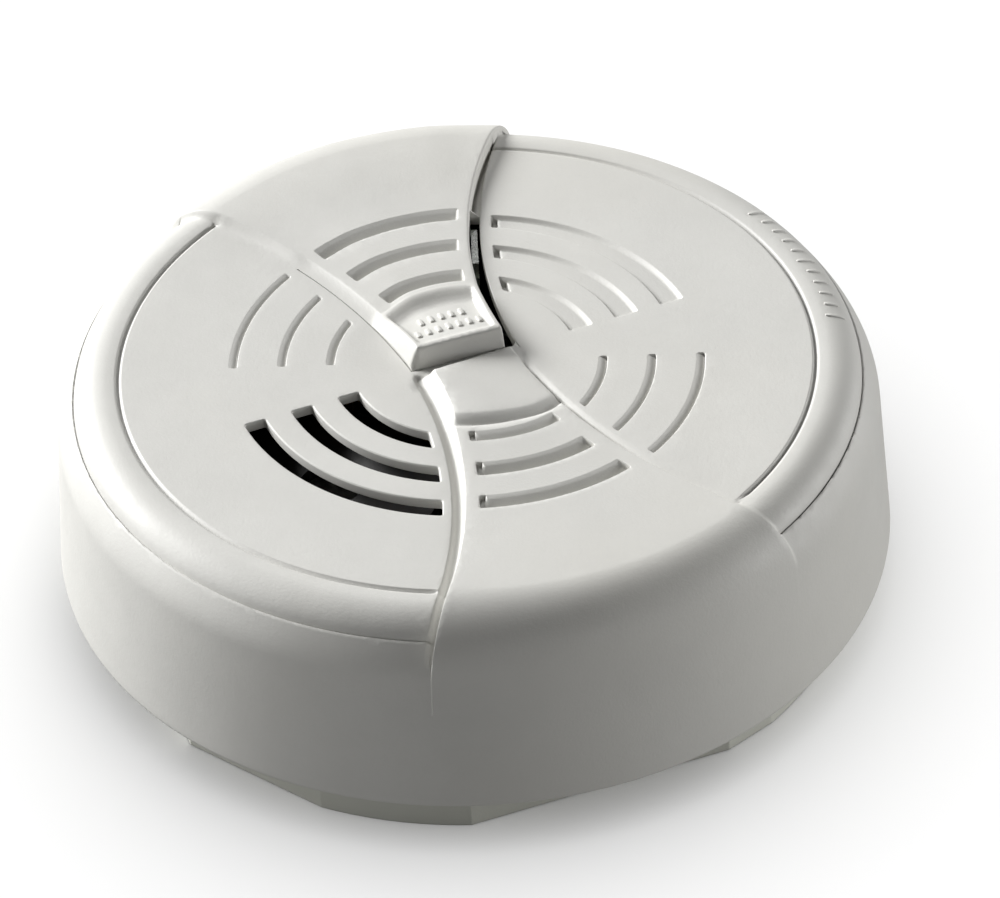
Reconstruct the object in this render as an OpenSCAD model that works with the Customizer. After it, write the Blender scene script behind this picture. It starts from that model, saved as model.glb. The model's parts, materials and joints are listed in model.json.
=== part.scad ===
// Ceiling smoke alarm, mains powered with a 9 V back-up battery.
// Origin: centre of the mounting bracket's back face. +Z points out of the
// front face, towards the room. The battery drawer opens towards +Y.
// Seen from the room, +X is right and +Y is up.

/* [Housing] */
// Radius of the housing at its lower edge
housing_r = 72.9; // [72.5:0.1:73.5]
// Height of the housing's lower edge above the ceiling
skirt_z = 10.0; // [9.9:0.1:10.2]
// Height of the groove ring on the face above the ceiling
face_z = 46.5; // [46.3:0.1:47.5]
// How far the upper and lower fan panels stand above the side panels
panel_step = 1.3; // [1.2:0.1:1.6]
// Radius of the rounded shoulder where the fan panels roll into the wall
shoulder_fillet = 10.5; // [10:0.5:11]
// Radius of the fine groove ring that frames the side panels
ring_r = 60.0; // [59:0.5:61]

/* [Slots] */
// Outer radius of the outermost sound slot
slot_r = 40.7; // [40:0.1:41]
// Radial distance from one slot to the next
slot_pitch = 8.5; // [8.2:0.1:8.6]
// Width of each slot
slot_w = 3.7; // [3.0:0.1:3.8]
// Width of the fine dummy grooves
fine_w = 1.0; // [0.8:0.1:1.4]
// Depth of the blind dummy slots
blind_depth = 1.4; // [1.0:0.1:1.6]

/* [Test button] */
// Height of the push pad on the test lever above the fan panels
button_h = 3.1; // [2.8:0.1:3.4]
// Radius of the arc behind the push pad
button_r = 19.4; // [19:0.1:19.6]
// Clearance gap along the lever's left edge and its root
lever_gap = 0.35; // [0.3:0.05:0.5]

/* [Battery drawer] */
// Half width of the battery drawer
drawer_hw = 27.0; // [26.8:0.1:27.1]
// Clearance around the drawer
drawer_gap = 0.3; // [0.25:0.05:0.4]

/* [Bracket] */
// Radius of the bracket's round corners
bracket_r = 66.5; // [66:0.1:67]
// Distance from the centre to each of the bracket's four flats
bracket_flat = 61.8; // [61.5:0.1:62.5]
// Thickness of the bracket's plate
bracket_t = 2.4; // [2:0.1:2.8]
// Distance between the two ceiling screws that lie along X
screw_x = 83.3; // [80:0.1:86]
// Distance between the two ceiling screws that lie along Y
screw_y = 69.8; // [69:0.1:71]
// Radius of a ceiling screw slot
screw_r = 2.3; // [2.2:0.1:2.5]
// End-to-end length of a ceiling screw slot
screw_slot = 12; // [10:0.5:12]
// Radius of the wiring hole
wire_r = 26; // [24:0.5:26]

/* [Hidden] */
$fn = 96;
seat_gap = 0.05;                   // gap between parts that rest on each other

// Housing
wall_r = housing_r - 1.8;          // wall radius at the shoulder
taper_z = face_z - 10;             // top of the tapered wall by the side panels
side_z = face_z + 0.25;            // side panels
fan_z = side_z + panel_step;       // fan panels
under_z = face_z - 1.6;            // underside of the face
shoulder_z = fan_z - shoulder_fillet;
pad_z = fan_z + button_h;          // top of the push pad

// Big circles that bound the fan panels: [x, y, r]
slit_lever_side = [88.1, 32.3, 86.45];
slit_panel_side = [98.8, 35.7, 95.35];
fan_left = [-108, -45, 107.8];

// Inner edges of the fan panels: [left end, right end].
// The lower one is given as turned by 180 degrees.
upper_edge = [[-9.5, -2.3], [8.1, 3.2]];
lower_edge = [[-8, -0.8], [6.2, 4.9]];
front_gap = 0.35;                  // clearance along the lever's front edge

// Lever hinge
hinge_left = [-29.8, 28.7];
hinge_right = [2.7, 39.6];
hinge_span = hinge_right - hinge_left;
hinge_angle = atan2(hinge_span[1], hinge_span[0]);
hinge_along = [cos(hinge_angle), sin(hinge_angle)];
hinge_across = [-sin(hinge_angle), cos(hinge_angle)];
hinge_mid = (hinge_left + hinge_right) / 2;
hinge_edge = [hinge_mid - hinge_along * 20, hinge_mid + hinge_along * 20];
hinge_z = (under_z + fan_z) / 2;
knuckle_r = 1.1;
knuckle_ends = [-15.4, 14.4];      // along the hinge, from its middle

// Test contact: the lever's foot and the contact leaf under it
foot_at = [-2.5, 7.0];
foot_z = 36.85;
leaf_reach = 17.9;                 // from the foot to the leaf's eye
leaf_z = 36.5;
leaf_t = 0.5;
eye_r = 0.7;
eye_at = foot_at + leaf_reach * hinge_across;

// Rear base and board
base_r = housing_r - 2.9;
base_z = skirt_z + 1;
base_t = 2.2;
base_top = base_z + base_t;
sink = 0.2;                        // how deep features root into the base
board_z = base_top + 4.8;
board_t = 1.6;
board_top = board_z + board_t;
parts_z = board_top + seat_gap;
// Board posts: [x, y, takes a screw]
posts = [[-49, -27, false], [49, -27, true], [-44, 24, true], [44, 24, false]];
screw_posts = [for (post = posts) if (post[2]) post];
pilot_r = 1.1;                     // screw hole in a post

// Bayonet hooks
hook_angles = [for (i = [0:3]) 16.5 + 90 * i];
hook_r = 54.1;

// Power socket
socket_at = [0, -8];
socket_z = base_z - 2.4;
socket_size = [22, 12];
socket_pitch = 5.5;

// Drawer and battery
floor_z = base_top + 2;
tray_t = 1.4;
tray_y = 34.5;                     // inner end of the tray
drawer_h = 20.5;
battery_size = [45.4, 26.4, 17.4];
battery_x = -24.2;                 // left end
battery_y = 49.5;                  // centre
battery_z = floor_z + tray_t + 0.2;
strip_t = 0.5;                     // battery contact sheet
contact_x = drawer_hw + 1.8;

// ---- helpers ----
function arc_points(centre, radius, from, to, steps) =
  [for (i = [0:steps]) let (a = from + (to - from) * i / steps)
    centre + radius * [cos(a), sin(a)]];

// Radius of the tapered outer wall at height z
function wall_at(z) = housing_r - (housing_r - wall_r) * (z - skirt_z) / (taper_z - skirt_z);

// Moves children to the x and y of point, at height z
module at(point, z = 0, turn = 0) {
  translate([point[0], point[1], z]) rotate(turn) children();
}

// Stands children on the board at place = [x, y, turn]
module on_board(place) {
  at(place, parts_z, place[2]) children();
}

module along_x() {
  rotate([0, 90, 0]) children();
}

// Box centred in x and y, with its bottom at z
module block(size, z = 0) {
  translate([-size[0] / 2, -size[1] / 2, z]) cube(size);
}

module prism(bottom, top) {
  translate([0, 0, bottom]) linear_extrude(top - bottom) children();
}

// Sector of a ring, between two radii, two angles and two heights
module ring_arc(inner, outer, from, to, bottom, top) {
  rotate_extrude(start = from, angle = to - from)
    translate([inner, bottom]) square([outer - inner, top - bottom]);
}

// Disc from a [x, y, r] circle
module disc(round, grow = 0) {
  at(round) circle(round[2] + grow, $fn = 180);
}

// Large area to the left of an edge, moved away from the edge by shift
module half_plane(edge, shift = 0) {
  along = (edge[1] - edge[0]) / norm(edge[1] - edge[0]);
  across = [-along[1], along[0]];
  start = edge[0] - 60 * along;
  end = edge[1] + 60 * along;
  polygon([start + shift * across, end + shift * across,
    end + 150 * across, start + 150 * across]);
}

// ---- housing ----
// Housing with its shoulder at side panel height and the groove ring
module lower_body() {
  fillet = 10.2;
  rotate_extrude() polygon(concat(
    [[0, skirt_z], [housing_r, skirt_z], [wall_r, taper_z]],
    arc_points([wall_r - fillet, taper_z], fillet, 7, 38, 4),
    [[ring_r + 8.3, face_z - 4.2]],
    arc_points([ring_r + 1.6, face_z - 6.6], 7.1, 27, 98, 7),
    [[ring_r, face_z - 0.3], [ring_r - 0.6, side_z], [0, side_z]]));
}

// Housing at fan panel height
module upper_body() {
  rotate_extrude() polygon(concat(
    [[0, skirt_z], [housing_r, skirt_z], [wall_r, shoulder_z]],
    arc_points([wall_r - shoulder_fillet, shoulder_z], shoulder_fillet, 10, 90, 8),
    [[0, fan_z]]));
}

// Inside of the housing, with a snap groove near its lower edge
module cavity() {
  rotate_extrude() polygon(concat(
    [[0, skirt_z - 1], [housing_r - 2.3, skirt_z - 1],
     [housing_r - 2.6, skirt_z + 4.4], [housing_r - 2.0, skirt_z + 4.4],
     [housing_r - 2.1, skirt_z + 6.2], [housing_r - 2.7, skirt_z + 6.2],
     [wall_r - 2.4, taper_z]],
    arc_points([wall_r - 10.8, taper_z], 8.4, 10, 90, 6),
    [[0, under_z]]));
}

module upper_fan() {
  difference() {
    half_plane(upper_edge);
    disc(slit_lever_side);
    disc(fan_left);
  }
}

module lower_fan() {
  rotate(180) difference() {
    half_plane(lower_edge);
    disc(slit_panel_side);
    disc(fan_left);
  }
}

// Three concentric slots; the trims shorten each slot's start and end, in degrees
module slot_rows(width, from, to, bottom, top, trim_from = [0, 0, 0], trim_to = [0, 0, 0]) {
  for (i = [0:2])
    ring_arc(slot_r - width - i * slot_pitch, slot_r - i * slot_pitch,
      from + trim_from[i], to - trim_to[i], bottom, top);
}

module fan_slots(from, to) {
  slot_rows(slot_w, from, to, fan_z - blind_depth, fan_z + 3);
}

// Slots of the upper fan panel, shared by the cover and the lever
module upper_slots() {
  fan_slots(90, 129.6);
}

// Round bar on the hinge line, between two distances from its middle
module hinge_rod(radius, from, to) {
  at(hinge_mid, hinge_z, hinge_angle) translate([from, 0, 0])
    along_x() cylinder(r = radius, h = to - from, $fn = 48);
}

// Area between the lever's front edge and its hinge line
module lever_field(front_shift, hinge_shift) {
  intersection() {
    half_plane(upper_edge, front_shift);
    rotate(180) translate(-2 * hinge_mid) half_plane(hinge_edge, hinge_shift);
    translate([-40, -12]) square([55, 62]);
  }
}

module lever_outline() {
  difference() {
    lever_field(lever_gap, 0);
    disc(slit_lever_side);
    disc(fan_left, lever_gap);
  }
}

module front_cover() color([0.87, 0.87, 0.84]) {
  side_groove_z = side_z - 0.9;
  side_slot_angles = [20.2, 81.7];
  side_trim = [0, 2.6, 9.2];
  difference() {
    union() {
      lower_body();
      intersection() {
        upper_body();
        prism(face_z - 12, fan_z + 1) {
          upper_fan();
          lower_fan();
        }
      }
      // central pad opposite the push pad
      intersection() {
        translate([0, 0, side_z - 1]) cylinder(r = button_r, h = panel_step + 2);
        prism(side_z - 2, fan_z + 4) lower_fan();
      }
    }
    cavity();
    // opening round the test lever, with the open slit on its right
    prism(under_z - 5, pad_z + 5) difference() {
      lever_field(-front_gap, -lever_gap);
      disc(slit_panel_side);
      disc(fan_left);
    }
    // round seat for the lever's hinge knuckle
    hinge_rod(knuckle_r + 0.25, knuckle_ends[0] - 0.3, knuckle_ends[1] + 0.3);
    // shallow end of the slit, towards the rim
    prism(side_z - 1.2, pad_z) difference() {
      intersection() {
        disc(slit_lever_side);
        translate([0, 30]) square([8, 29]);
      }
      disc(slit_panel_side);
    }
    upper_slots();
    fan_slots(270.5, 310.2);
    // sound slots, open to the horn
    slot_rows(slot_w, side_slot_angles[0] + 180, side_slot_angles[1] + 180,
      under_z - 3, fan_z + 3, trim_to = side_trim);
    // dummy slots opposite
    slot_rows(slot_w, side_slot_angles[0], side_slot_angles[1],
      side_groove_z, side_z + 0.5, trim_to = side_trim);
    // fine dummy grooves
    for (turn = [0, 180])
      slot_rows(fine_w, turn + 138.3, turn + 177.9,
        side_groove_z, side_z + 0.5, trim_from = [0, 3.2, 7.7]);
    // drawer window
    translate([-drawer_hw - drawer_gap, 40, floor_z - drawer_gap])
      cube([2 * (drawer_hw + drawer_gap), 40, drawer_h + 2 * drawer_gap]);
  }
  // three upright ribs inside the wall
  for (a = [30, 150, 270])
    rotate(a) translate([wall_r - 5, -1, skirt_z + 10]) cube([3.6, 2, 14]);
}

module test_lever() color([0.87, 0.87, 0.84]) {
  // finger pocket in the push pad: [x, y]
  pocket = [[-7.6, 0.6], [4.2, 4.3], [0.4, 15.2], [-5.5, 15.9], [-12, 12.4]];
  pocket_middle = [-3.6, 8.4];
  rib_pitch = 2.6;
  difference() {
    union() {
      prism(under_z, fan_z) lever_outline();
      // push pad
      intersection() {
        prism(fan_z - 1, pad_z) lever_outline();
        translate([0, 0, fan_z - 2]) cylinder(r = button_r, h = button_h + 3);
      }
      hinge_rod(knuckle_r, knuckle_ends[0], knuckle_ends[1]);
      // foot, widening towards the lever
      at(foot_at, foot_z) cylinder(r = 1.5, h = under_z - foot_z + 1);
      at(foot_at, foot_z + 3) cylinder(r1 = 1.6, r2 = 3.2, h = under_z - foot_z - 2);
    }
    upper_slots();
    prism(pad_z - 1.6, pad_z + 1) polygon(pocket);
  }
  // raised ribs in the pocket
  for (i = [-1:1])
    at(pocket_middle, pad_z - 1.8, hinge_angle)
      translate([0, i * rib_pitch, 0]) block([10, 0.8, 0.6]);
}

// ---- bracket ----
module screw_slot_outline() {
  reach = screw_slot / 2 - screw_r;
  translate([-reach, -screw_r]) square([2 * reach, 2 * screw_r]);
  for (side = [-1, 1])
    translate([side * reach, 0]) circle(screw_r, $fn = 64);
}

// Area inside a flat that cuts the given depth into the bracket's circle
module inside_flat(angle, depth) {
  rotate(angle) translate([-100, -100]) square([100 + bracket_r - depth, 200]);
}

module bracket_outline() {
  intersection() {
    circle(bracket_r, $fn = 180);
    rotate(18.8) square(2 * bracket_flat, center = true);
    // two shallower flats
    inside_flat(-128, 1.6);
    inside_flat(-51.5, 0.75);
  }
}

module mounting_bracket() color([0.80, 0.80, 0.76]) {
  rib_h = 6;
  lip_z = base_top + 0.15;
  hook_top = base_top + 1.3;
  difference() {
    union() {
      linear_extrude(bracket_t) bracket_outline();
      // rim that closes the gap below the housing
      linear_extrude(skirt_z - 0.45) difference() {
        bracket_outline();
        circle(bracket_flat - 2.2, $fn = 180);
      }
      // collar round the wiring hole
      cylinder(r = wire_r + 1.8, h = rib_h);
      // stiffening ribs
      for (a = [48:90:318])
        rotate(a) translate([wire_r + 1, -0.9, 0])
          cube([bracket_flat - 4 - wire_r, 1.8, rib_h]);
    }
    translate([0, 0, -1]) cylinder(r = wire_r, h = 12);
    // ceiling screw slots: [direction, distance between the pair]
    for (pair = [[0, screw_x], [90, screw_y]], side = [-1, 1])
      rotate(pair[0]) translate([side * pair[1] / 2, 0, -1])
        linear_extrude(9) screw_slot_outline();
  }
  // bayonet hooks: upright and outward lip
  for (a = hook_angles) {
    ring_arc(hook_r, hook_r + 1.8, a - 5, a + 5, bracket_t - 0.5, hook_top);
    ring_arc(hook_r, hook_r + 3.9, a - 5, a + 5, lip_z, hook_top);
  }
}

// ---- rear base ----
module rear_base() color([0.84, 0.84, 0.81]) {
  ring_inner = base_r - 1.7;
  snap_r = base_r + 0.7;
  difference() {
    union() {
      translate([0, 0, base_z]) cylinder(r = base_r, h = base_t, $fn = 180);
      // upstanding snap ring
      rotate_extrude($fn = 180) polygon([
        [ring_inner, base_z + 1], [base_r, base_z + 1],
        [base_r, base_z + 3.7], [snap_r, base_z + 4.1],
        [snap_r, base_z + 4.6], [base_r, base_z + 5.0],
        [ring_inner, base_z + 5.0]]);
    }
    // drawer gap in the snap ring
    translate([-drawer_hw - 2, 30, base_top]) cube([2 * drawer_hw + 4, 50, 10]);
    // bayonet slots: narrow where locked, wide where the hooks lift out
    for (a = hook_angles) {
      ring_arc(hook_r - 0.3, hook_r + 2.1, a - 20, a + 6, base_z - 1, base_top + 1);
      ring_arc(hook_r - 0.3, hook_r + 4.3, a - 21.5, a - 8.6, base_z - 1, base_top + 1);
    }
    // power socket opening
    at(socket_at, base_z - 1) block([socket_size[0] + 0.4, socket_size[1] + 0.4, 5]);
    // board screw holes
    for (post = screw_posts)
      at(post, base_top + 0.8) cylinder(r = pilot_r, h = 8, $fn = 32);
    // air vents
    for (a = [200:12:260])
      rotate(a) translate([36, 0, base_z - 1]) cylinder(r = 1.6, h = 5, $fn = 32);
  }
  // board posts
  for (post = posts)
    at(post, base_top - sink) difference() {
      cylinder(r = 3, h = board_z - base_top + 0.15, $fn = 48);
      if (post[2])
        translate([0, 0, 1]) cylinder(r = pilot_r, h = 8, $fn = 32);
    }
  // drawer guides and runners
  for (side = [-1, 1]) {
    translate([side * (drawer_hw + 1.05) - 0.75, 36, base_top - sink]) cube([1.5, 23, 6]);
    translate([side * 24.6 - 0.8, 37, base_top - sink])
      cube([1.6, 22, floor_z - 0.1 - base_top + sink]);
  }
  // block that carries the battery contacts
  translate([contact_x + strip_t + seat_gap, 38.5, base_top - sink]) cube([2.4, 20.5, 17]);
}

// ---- board ----
module circuit_board() color([0.55, 0.42, 0.24]) {
  difference() {
    // round board, cut back at the drawer and its two corners
    prism(board_z, board_top) difference() {
      circle(62, $fn = 180);
      translate([-80, 33.5]) square([160, 60]);
      for (x = [-80, 46])
        translate([x, 28.5]) square([34, 60]);
    }
    for (post = screw_posts)
      at(post, board_z - 1) cylinder(r = 1.6, h = 5, $fn = 32);
    // two holes below the power socket
    for (side = [-1, 1])
      translate([side * 7, socket_at[1] - 8, board_z - 1]) cylinder(r = 1.2, h = 4, $fn = 32);
  }
}

module board_screws() color("silver") {
  tip_z = base_top + 1.4;
  for (post = screw_posts)
    at(post) difference() {
      union() {
        translate([0, 0, tip_z]) cylinder(r = 1.0, h = board_top + 1 - tip_z, $fn = 32);
        translate([0, 0, parts_z]) cylinder(r = 2.6, h = 1.9, $fn = 48);
      }
      // cross recess
      for (a = [0, 90])
        rotate(a) block([3, 0.7, 2], parts_z + 1);
    }
}

// ---- smoke chamber ----
chamber_at = [26, -18];
chamber_flange_t = 1.6;
chamber_floor = 1.2;
collector_post_z = 1;
collector_post_h = 8.4;
shield_r = 20.9;
shield_h = 18.4;
shield_t = 0.7;

module chamber_base() color([0.93, 0.92, 0.88]) at(chamber_at, parts_z) {
  difference() {
    union() {
      cylinder(r = 21.4, h = chamber_flange_t);
      cylinder(r = 19.9, h = 3.2);
    }
    translate([0, 0, chamber_floor]) cylinder(r = 17.5, h = 5);
  }
  // three posts for the collector plate
  for (a = [90, 210, 330])
    rotate(a) translate([12.5, 0, collector_post_z])
      cylinder(r = 1.4, h = collector_post_h, $fn = 32);
}

module source_holder() color("silver") at(chamber_at, parts_z + chamber_floor + seat_gap) {
  cylinder(r = 4.5, h = 1.2);
  difference() {
    cylinder(r = 2.6, h = 3.4);
    translate([0, 0, 2.8]) cylinder(r = 1.7, h = 2);
  }
}

module collector_plate() color("silver")
  at(chamber_at, parts_z + collector_post_z + collector_post_h + seat_gap) difference() {
    cylinder(r = 14.4, h = 0.5);
    translate([0, 0, -1]) cylinder(r = 3, h = 3);
  }

module chamber_shield() color([0.75, 0.75, 0.74])
  at(chamber_at, parts_z + chamber_flange_t + seat_gap) difference() {
    cylinder(r = shield_r, h = shield_h);
    translate([0, 0, -1]) cylinder(r = shield_r - shield_t, h = shield_h - shield_t + 1);
    // windows in the side, then holes in the roof
    for (i = [0:11])
      rotate(i * 30) translate([18, -1.5, 10]) cube([6, 3, 5]);
    for (i = [0:7])
      rotate(i * 45) translate([12, 0, 15]) cylinder(r = 1.8, h = 6, $fn = 32);
    translate([0, 0, 15]) cylinder(r = 2.2, h = 6, $fn = 32);
  }

// ---- horn ----
horn_at = [-24, -22];
horn_r = 19;
horn_h = 18;
piezo_seat = 12.2;                 // heights above the horn's foot
horn_cap_z = 13.1;

module horn_cup() color([0.12, 0.12, 0.12]) at(horn_at, parts_z) difference() {
  cylinder(r = horn_r, h = horn_h);
  translate([0, 0, -1]) cylinder(r = 15.6, h = 20);
  translate([0, 0, piezo_seat]) cylinder(r = 17.4, h = 8);
}

module piezo_disc() color([0.80, 0.62, 0.28])
  at(horn_at, parts_z + piezo_seat + seat_gap) cylinder(r = 17.3, h = 0.35);

module piezo_ceramic() color([0.85, 0.83, 0.78])
  at(horn_at, parts_z + 12.62) cylinder(r = 11.8, h = 0.3);

module horn_contacts() color([0.75, 0.75, 0.72]) {
  for (a = [60, 180, 300])
    at(horn_at + 9 * [cos(a), sin(a)], parts_z) {
      cylinder(r = 1.4, h = 1.5, $fn = 32);
      cylinder(r = 0.5, h = piezo_seat - seat_gap, $fn = 32);
    }
}

module horn_cap() color([0.14, 0.13, 0.12]) at(horn_at, parts_z + horn_cap_z) difference() {
  union() {
    cylinder(r = 17.2, h = 5.2);
    translate([0, 0, horn_h + seat_gap - horn_cap_z]) cylinder(r = horn_r, h = 1.6);
  }
  translate([0, 0, -1]) cylinder(r = 15.8, h = 5);
  translate([0, 0, -1]) cylinder(r = 5.5, h = 10);
}

// ---- lights ----
led_r = 1.5;
led_h = 6;

module led(point) {
  at(point, parts_z) {
    cylinder(r = 1.9, h = 1);
    cylinder(r = led_r, h = led_h - led_r, $fn = 48);
    translate([0, 0, led_h - led_r]) sphere(r = led_r, $fn = 48);
  }
}

module led_green() color([0.45, 0.75, 0.45]) led([2.6, 29.6]);

module led_red() color([0.80, 0.25, 0.20]) led([10.6, 14]);

// Upright bar over the green light, with an arm towards +Y under the face
module light_guide() color([0.80, 0.90, 0.82]) {
  corner = [1.95, 28.4];
  guide_w = 1.15;
  foot = parts_z + led_h + 0.3;
  arm_z = 41;
  at(corner, foot) cube([guide_w, 2.4, arm_z + 1 - foot]);
  at(corner, arm_z) cube([guide_w, 9.6, side_z - 1.3 - arm_z]);
}

// ---- electronic parts ----
pin_pitch = 2.54;
lead_r = 0.3;

// Two-row chip with the given number of legs per row
module chip(place, row) on_board(place) {
  length = row * pin_pitch + 0.5;
  difference() {
    block([length, 6.4, 3.3], 0.6);
    translate([-length / 2, 0, 3.4]) cylinder(r = 1.2, h = 2, $fn = 32);
  }
  for (i = [0:row - 1], side = [-1, 1])
    translate([(i - (row - 1) / 2) * pin_pitch, 0, 0]) {
      translate([0, side * 3.55, 0]) block([1.3, 0.9, 0.3], 2);
      translate([0, side * 3.85, 0]) block([0.5, 0.3, 2.2]);
    }
}

module detector_ic() color([0.1, 0.1, 0.1]) chip([-38, 10, 25], 8);

module driver_ic() color([0.1, 0.1, 0.1]) chip([20, 20, -20], 4);

module electrolytic_capacitors() color([0.15, 0.2, 0.35]) {
  // [x, y, radius, height]
  for (can = [[36, 12, 5, 12.5], [47.5, 5, 4, 11], [-1, -46, 5, 12.5]])
    at(can, parts_z) difference() {
      cylinder(r = can[2], h = can[3], $fn = 64);
      // crimp groove, then the cross scored in the top
      translate([0, 0, 1.6]) rotate_extrude($fn = 64)
        translate([can[2] + 0.4, 0]) circle(0.7, $fn = 24);
      for (a = [0, 90])
        rotate(a) block([can[2] * 1.2, 0.4, 1], can[3] - 0.3);
    }
}

module film_capacitor() color([0.75, 0.25, 0.15])
  on_board([-17, -52, 10]) block([18, 8, 14]);

// Upright round disc, with its two leads at the given distance from the middle
module disc_part(place, radius, thickness, height, spread, wire_r, wire_h, fn) on_board(place) {
  translate([0, thickness / 2, height]) rotate([90, 0, 0])
    cylinder(r = radius, h = thickness, $fn = fn);
  for (side = [-1, 1])
    translate([side * spread, 0, 0]) cylinder(r = wire_r, h = wire_h, $fn = 24);
}

module ceramic_capacitors() color([0.80, 0.55, 0.25]) {
  // [x, y, turn]
  for (place = [[-12, 2, 40], [-48, -2, 80], [12, -48, 20], [28, 28, 0]])
    disc_part(place, radius = 2.8, thickness = 2, height = 4.4,
      spread = 1.6, wire_r = lead_r, wire_h = 3, fn = 48);
}

module varistor() color([0.15, 0.35, 0.65])
  disc_part([-42, -38, -50], radius = 5.2, thickness = 3.8, height = 6.4,
    spread = 2.5, wire_r = 0.4, wire_h = 4, fn = 64);

// Lying cylinder with a wire through it and a leg at each end
module axial_part(place, radius, length) on_board(place) {
  axis_z = radius + lead_r;
  translate([-length / 2, 0, axis_z]) along_x() cylinder(r = radius, h = length, $fn = 48);
  translate([-length / 2 - 2, 0, axis_z]) along_x()
    cylinder(r = lead_r, h = length + 4, $fn = 24);
  for (side = [-1, 1])
    translate([side * (length / 2 + 1.8), 0, 0])
      cylinder(r = lead_r + 0.01, h = axis_z, $fn = 24);
}

module resistors() color([0.82, 0.72, 0.52]) {
  // [x, y, turn]
  for (place = [[-30, 29.5, 0], [-18, 29.5, 0], [-22, 20, 25], [-56, 3, 80],
                [-14.5, 10, 70], [54.5, 12, 100], [40, 22.5, -30], [53, -8, 98]])
    axial_part(place, 1.2, 6.4);
  axial_part([18, 9, -15], 2.2, 11);
}

module diodes() color([0.15, 0.15, 0.15]) {
  row_r = 55.5;
  for (a = [-68, -61, -54])
    axial_part([row_r * cos(a), row_r * sin(a), a], 1.3, 5);
}

module transistors() color([0.1, 0.1, 0.1]) {
  // [x, y, turn]
  for (place = [[-54, 14, 0], [10, 26, 30]])
    on_board(place) {
      difference() {
        translate([0, 0, 2]) cylinder(r = 2.4, h = 4.6, $fn = 48);
        translate([-4, 1.2, 1]) cube([8, 4, 8]);
      }
      for (i = [-1:1])
        translate([i * pin_pitch / 2, 0, 0]) block([0.44, 0.44, 2.2]);
    }
}

// ---- power socket ----
module power_socket() color([0.90, 0.89, 0.84]) at(socket_at, socket_z) difference() {
  union() {
    block([socket_size[0], socket_size[1], board_z - 0.1 - socket_z]);
    block([25.2, 14.8, 1.6], base_top + 0.1 - socket_z);
  }
  block([19.6, 9.6, 6.4], -1);
  for (i = [-1:1])
    translate([i * socket_pitch, 0, 0]) block([0.9, 2.6, 20]);
  // polarising notch
  translate([-2, -7, -1]) cube([4, 3, 4]);
}

module power_pins() color([0.80, 0.65, 0.30]) at(socket_at, socket_z + 1)
  for (i = [-1:1])
    translate([i * socket_pitch, 0, 0])
      block([0.8, 2.5, board_z - seat_gap - socket_z - 1]);

// ---- test contact ----
module contact_stand() color([0.75, 0.73, 0.66]) at(eye_at, 0, hinge_angle) difference() {
  union() {
    translate([-2.4, -1, parts_z]) cube([4.8, 2.2, leaf_z - 0.45 - parts_z]);
    translate([-3.5, -1, parts_z]) cube([7, 5, 1.2]);
  }
  // cradle for the leaf's rolled eye
  translate([-4, 0, leaf_z]) along_x() cylinder(r = eye_r + 0.06, h = 8, $fn = 48);
}

module test_contact_leaf() color([0.80, 0.78, 0.70]) at(eye_at, leaf_z, hinge_angle) {
  translate([-2, -20, -leaf_t / 2]) cube([4, 20, leaf_t]);
  translate([-2.2, 0, 0]) along_x() cylinder(r = eye_r, h = 4.4, $fn = 48);
}

// Stands under the leaf's free end
module contact_post() color([0.80, 0.65, 0.30])
  at(eye_at, parts_z, hinge_angle) translate([0, -18.3, 0]) {
    cylinder(r = 2.4, h = 1, $fn = 48);
    cylinder(r = 1.4, h = leaf_z - 2 - parts_z, $fn = 48);
  }

// ---- battery and drawer ----
module battery_drawer() color([0.86, 0.86, 0.83]) {
  front_inner = wall_r - 3;
  drawer_top = floor_z + drawer_h;
  difference() {
    union() {
      // tray floor
      prism(floor_z, floor_z + tray_t) intersection() {
        translate([-drawer_hw, tray_y]) square([2 * drawer_hw, 40]);
        circle(wall_r - 2.4, $fn = 180);
      }
      // left side and the lip along the inner end
      translate([-drawer_hw, tray_y, floor_z]) cube([tray_t, 26.5, 14]);
      translate([-drawer_hw, tray_y, floor_z]) cube([2 * drawer_hw - 5, tray_t, 8]);
      // curved front, flush with the housing wall
      intersection() {
        rotate_extrude(start = 60, angle = 60, $fn = 180) polygon([
          [front_inner, floor_z], [wall_at(floor_z), floor_z],
          [wall_at(drawer_top), drawer_top], [front_inner, drawer_top]]);
        translate([-drawer_hw, 40, floor_z - 1]) cube([2 * drawer_hw, 40, 22]);
      }
      // shelf behind the curved front
      translate([-20, 63, floor_z + 16]) cube([40, 3, 2]);
    }
    // finger notch along the top of the front
    translate([0, housing_r + 2, floor_z + 18.5]) along_x()
      cylinder(r = 4, h = 24, center = true);
  }
}

module battery_case() color([0.25, 0.25, 0.28])
  translate([battery_x, battery_y - battery_size[1] / 2, battery_z]) cube(battery_size);

snap_offset = 6.35;                // from the battery's middle, along Y
snap_h = 2.9;

// Puts children on the battery's right end, pointing along +X
module on_battery_end(side) {
  translate([battery_x + battery_size[0] + seat_gap, battery_y + side * snap_offset,
    battery_z + battery_size[2] / 2]) along_x() children();
}

module battery_snaps() color("silver") {
  on_battery_end(-1) cylinder(r = 2.9, h = snap_h, $fn = 48);
  on_battery_end(1) difference() {
    cylinder(r = 4.2, h = snap_h, $fn = 6);
    translate([0, 0, 0.8]) cylinder(r = 2.8, h = 4, $fn = 48);
  }
}

// Plate on the block, strip towards the battery, and pad at the snap
module battery_contacts() color([0.80, 0.65, 0.30]) {
  strip_w = 5;
  pad_x = 24.4;
  for (side = [-1, 1])
    translate([0, battery_y + side * snap_offset - strip_w / 2, battery_z]) {
      translate([contact_x, 0, 3]) cube([strip_t, strip_w, 10]);
      translate([pad_x, 0, 8.5]) cube([contact_x + 0.2 - pad_x, strip_w, strip_t]);
      translate([pad_x, 0, 5.5]) cube([0.45, strip_w, 6]);
    }
}

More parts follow.
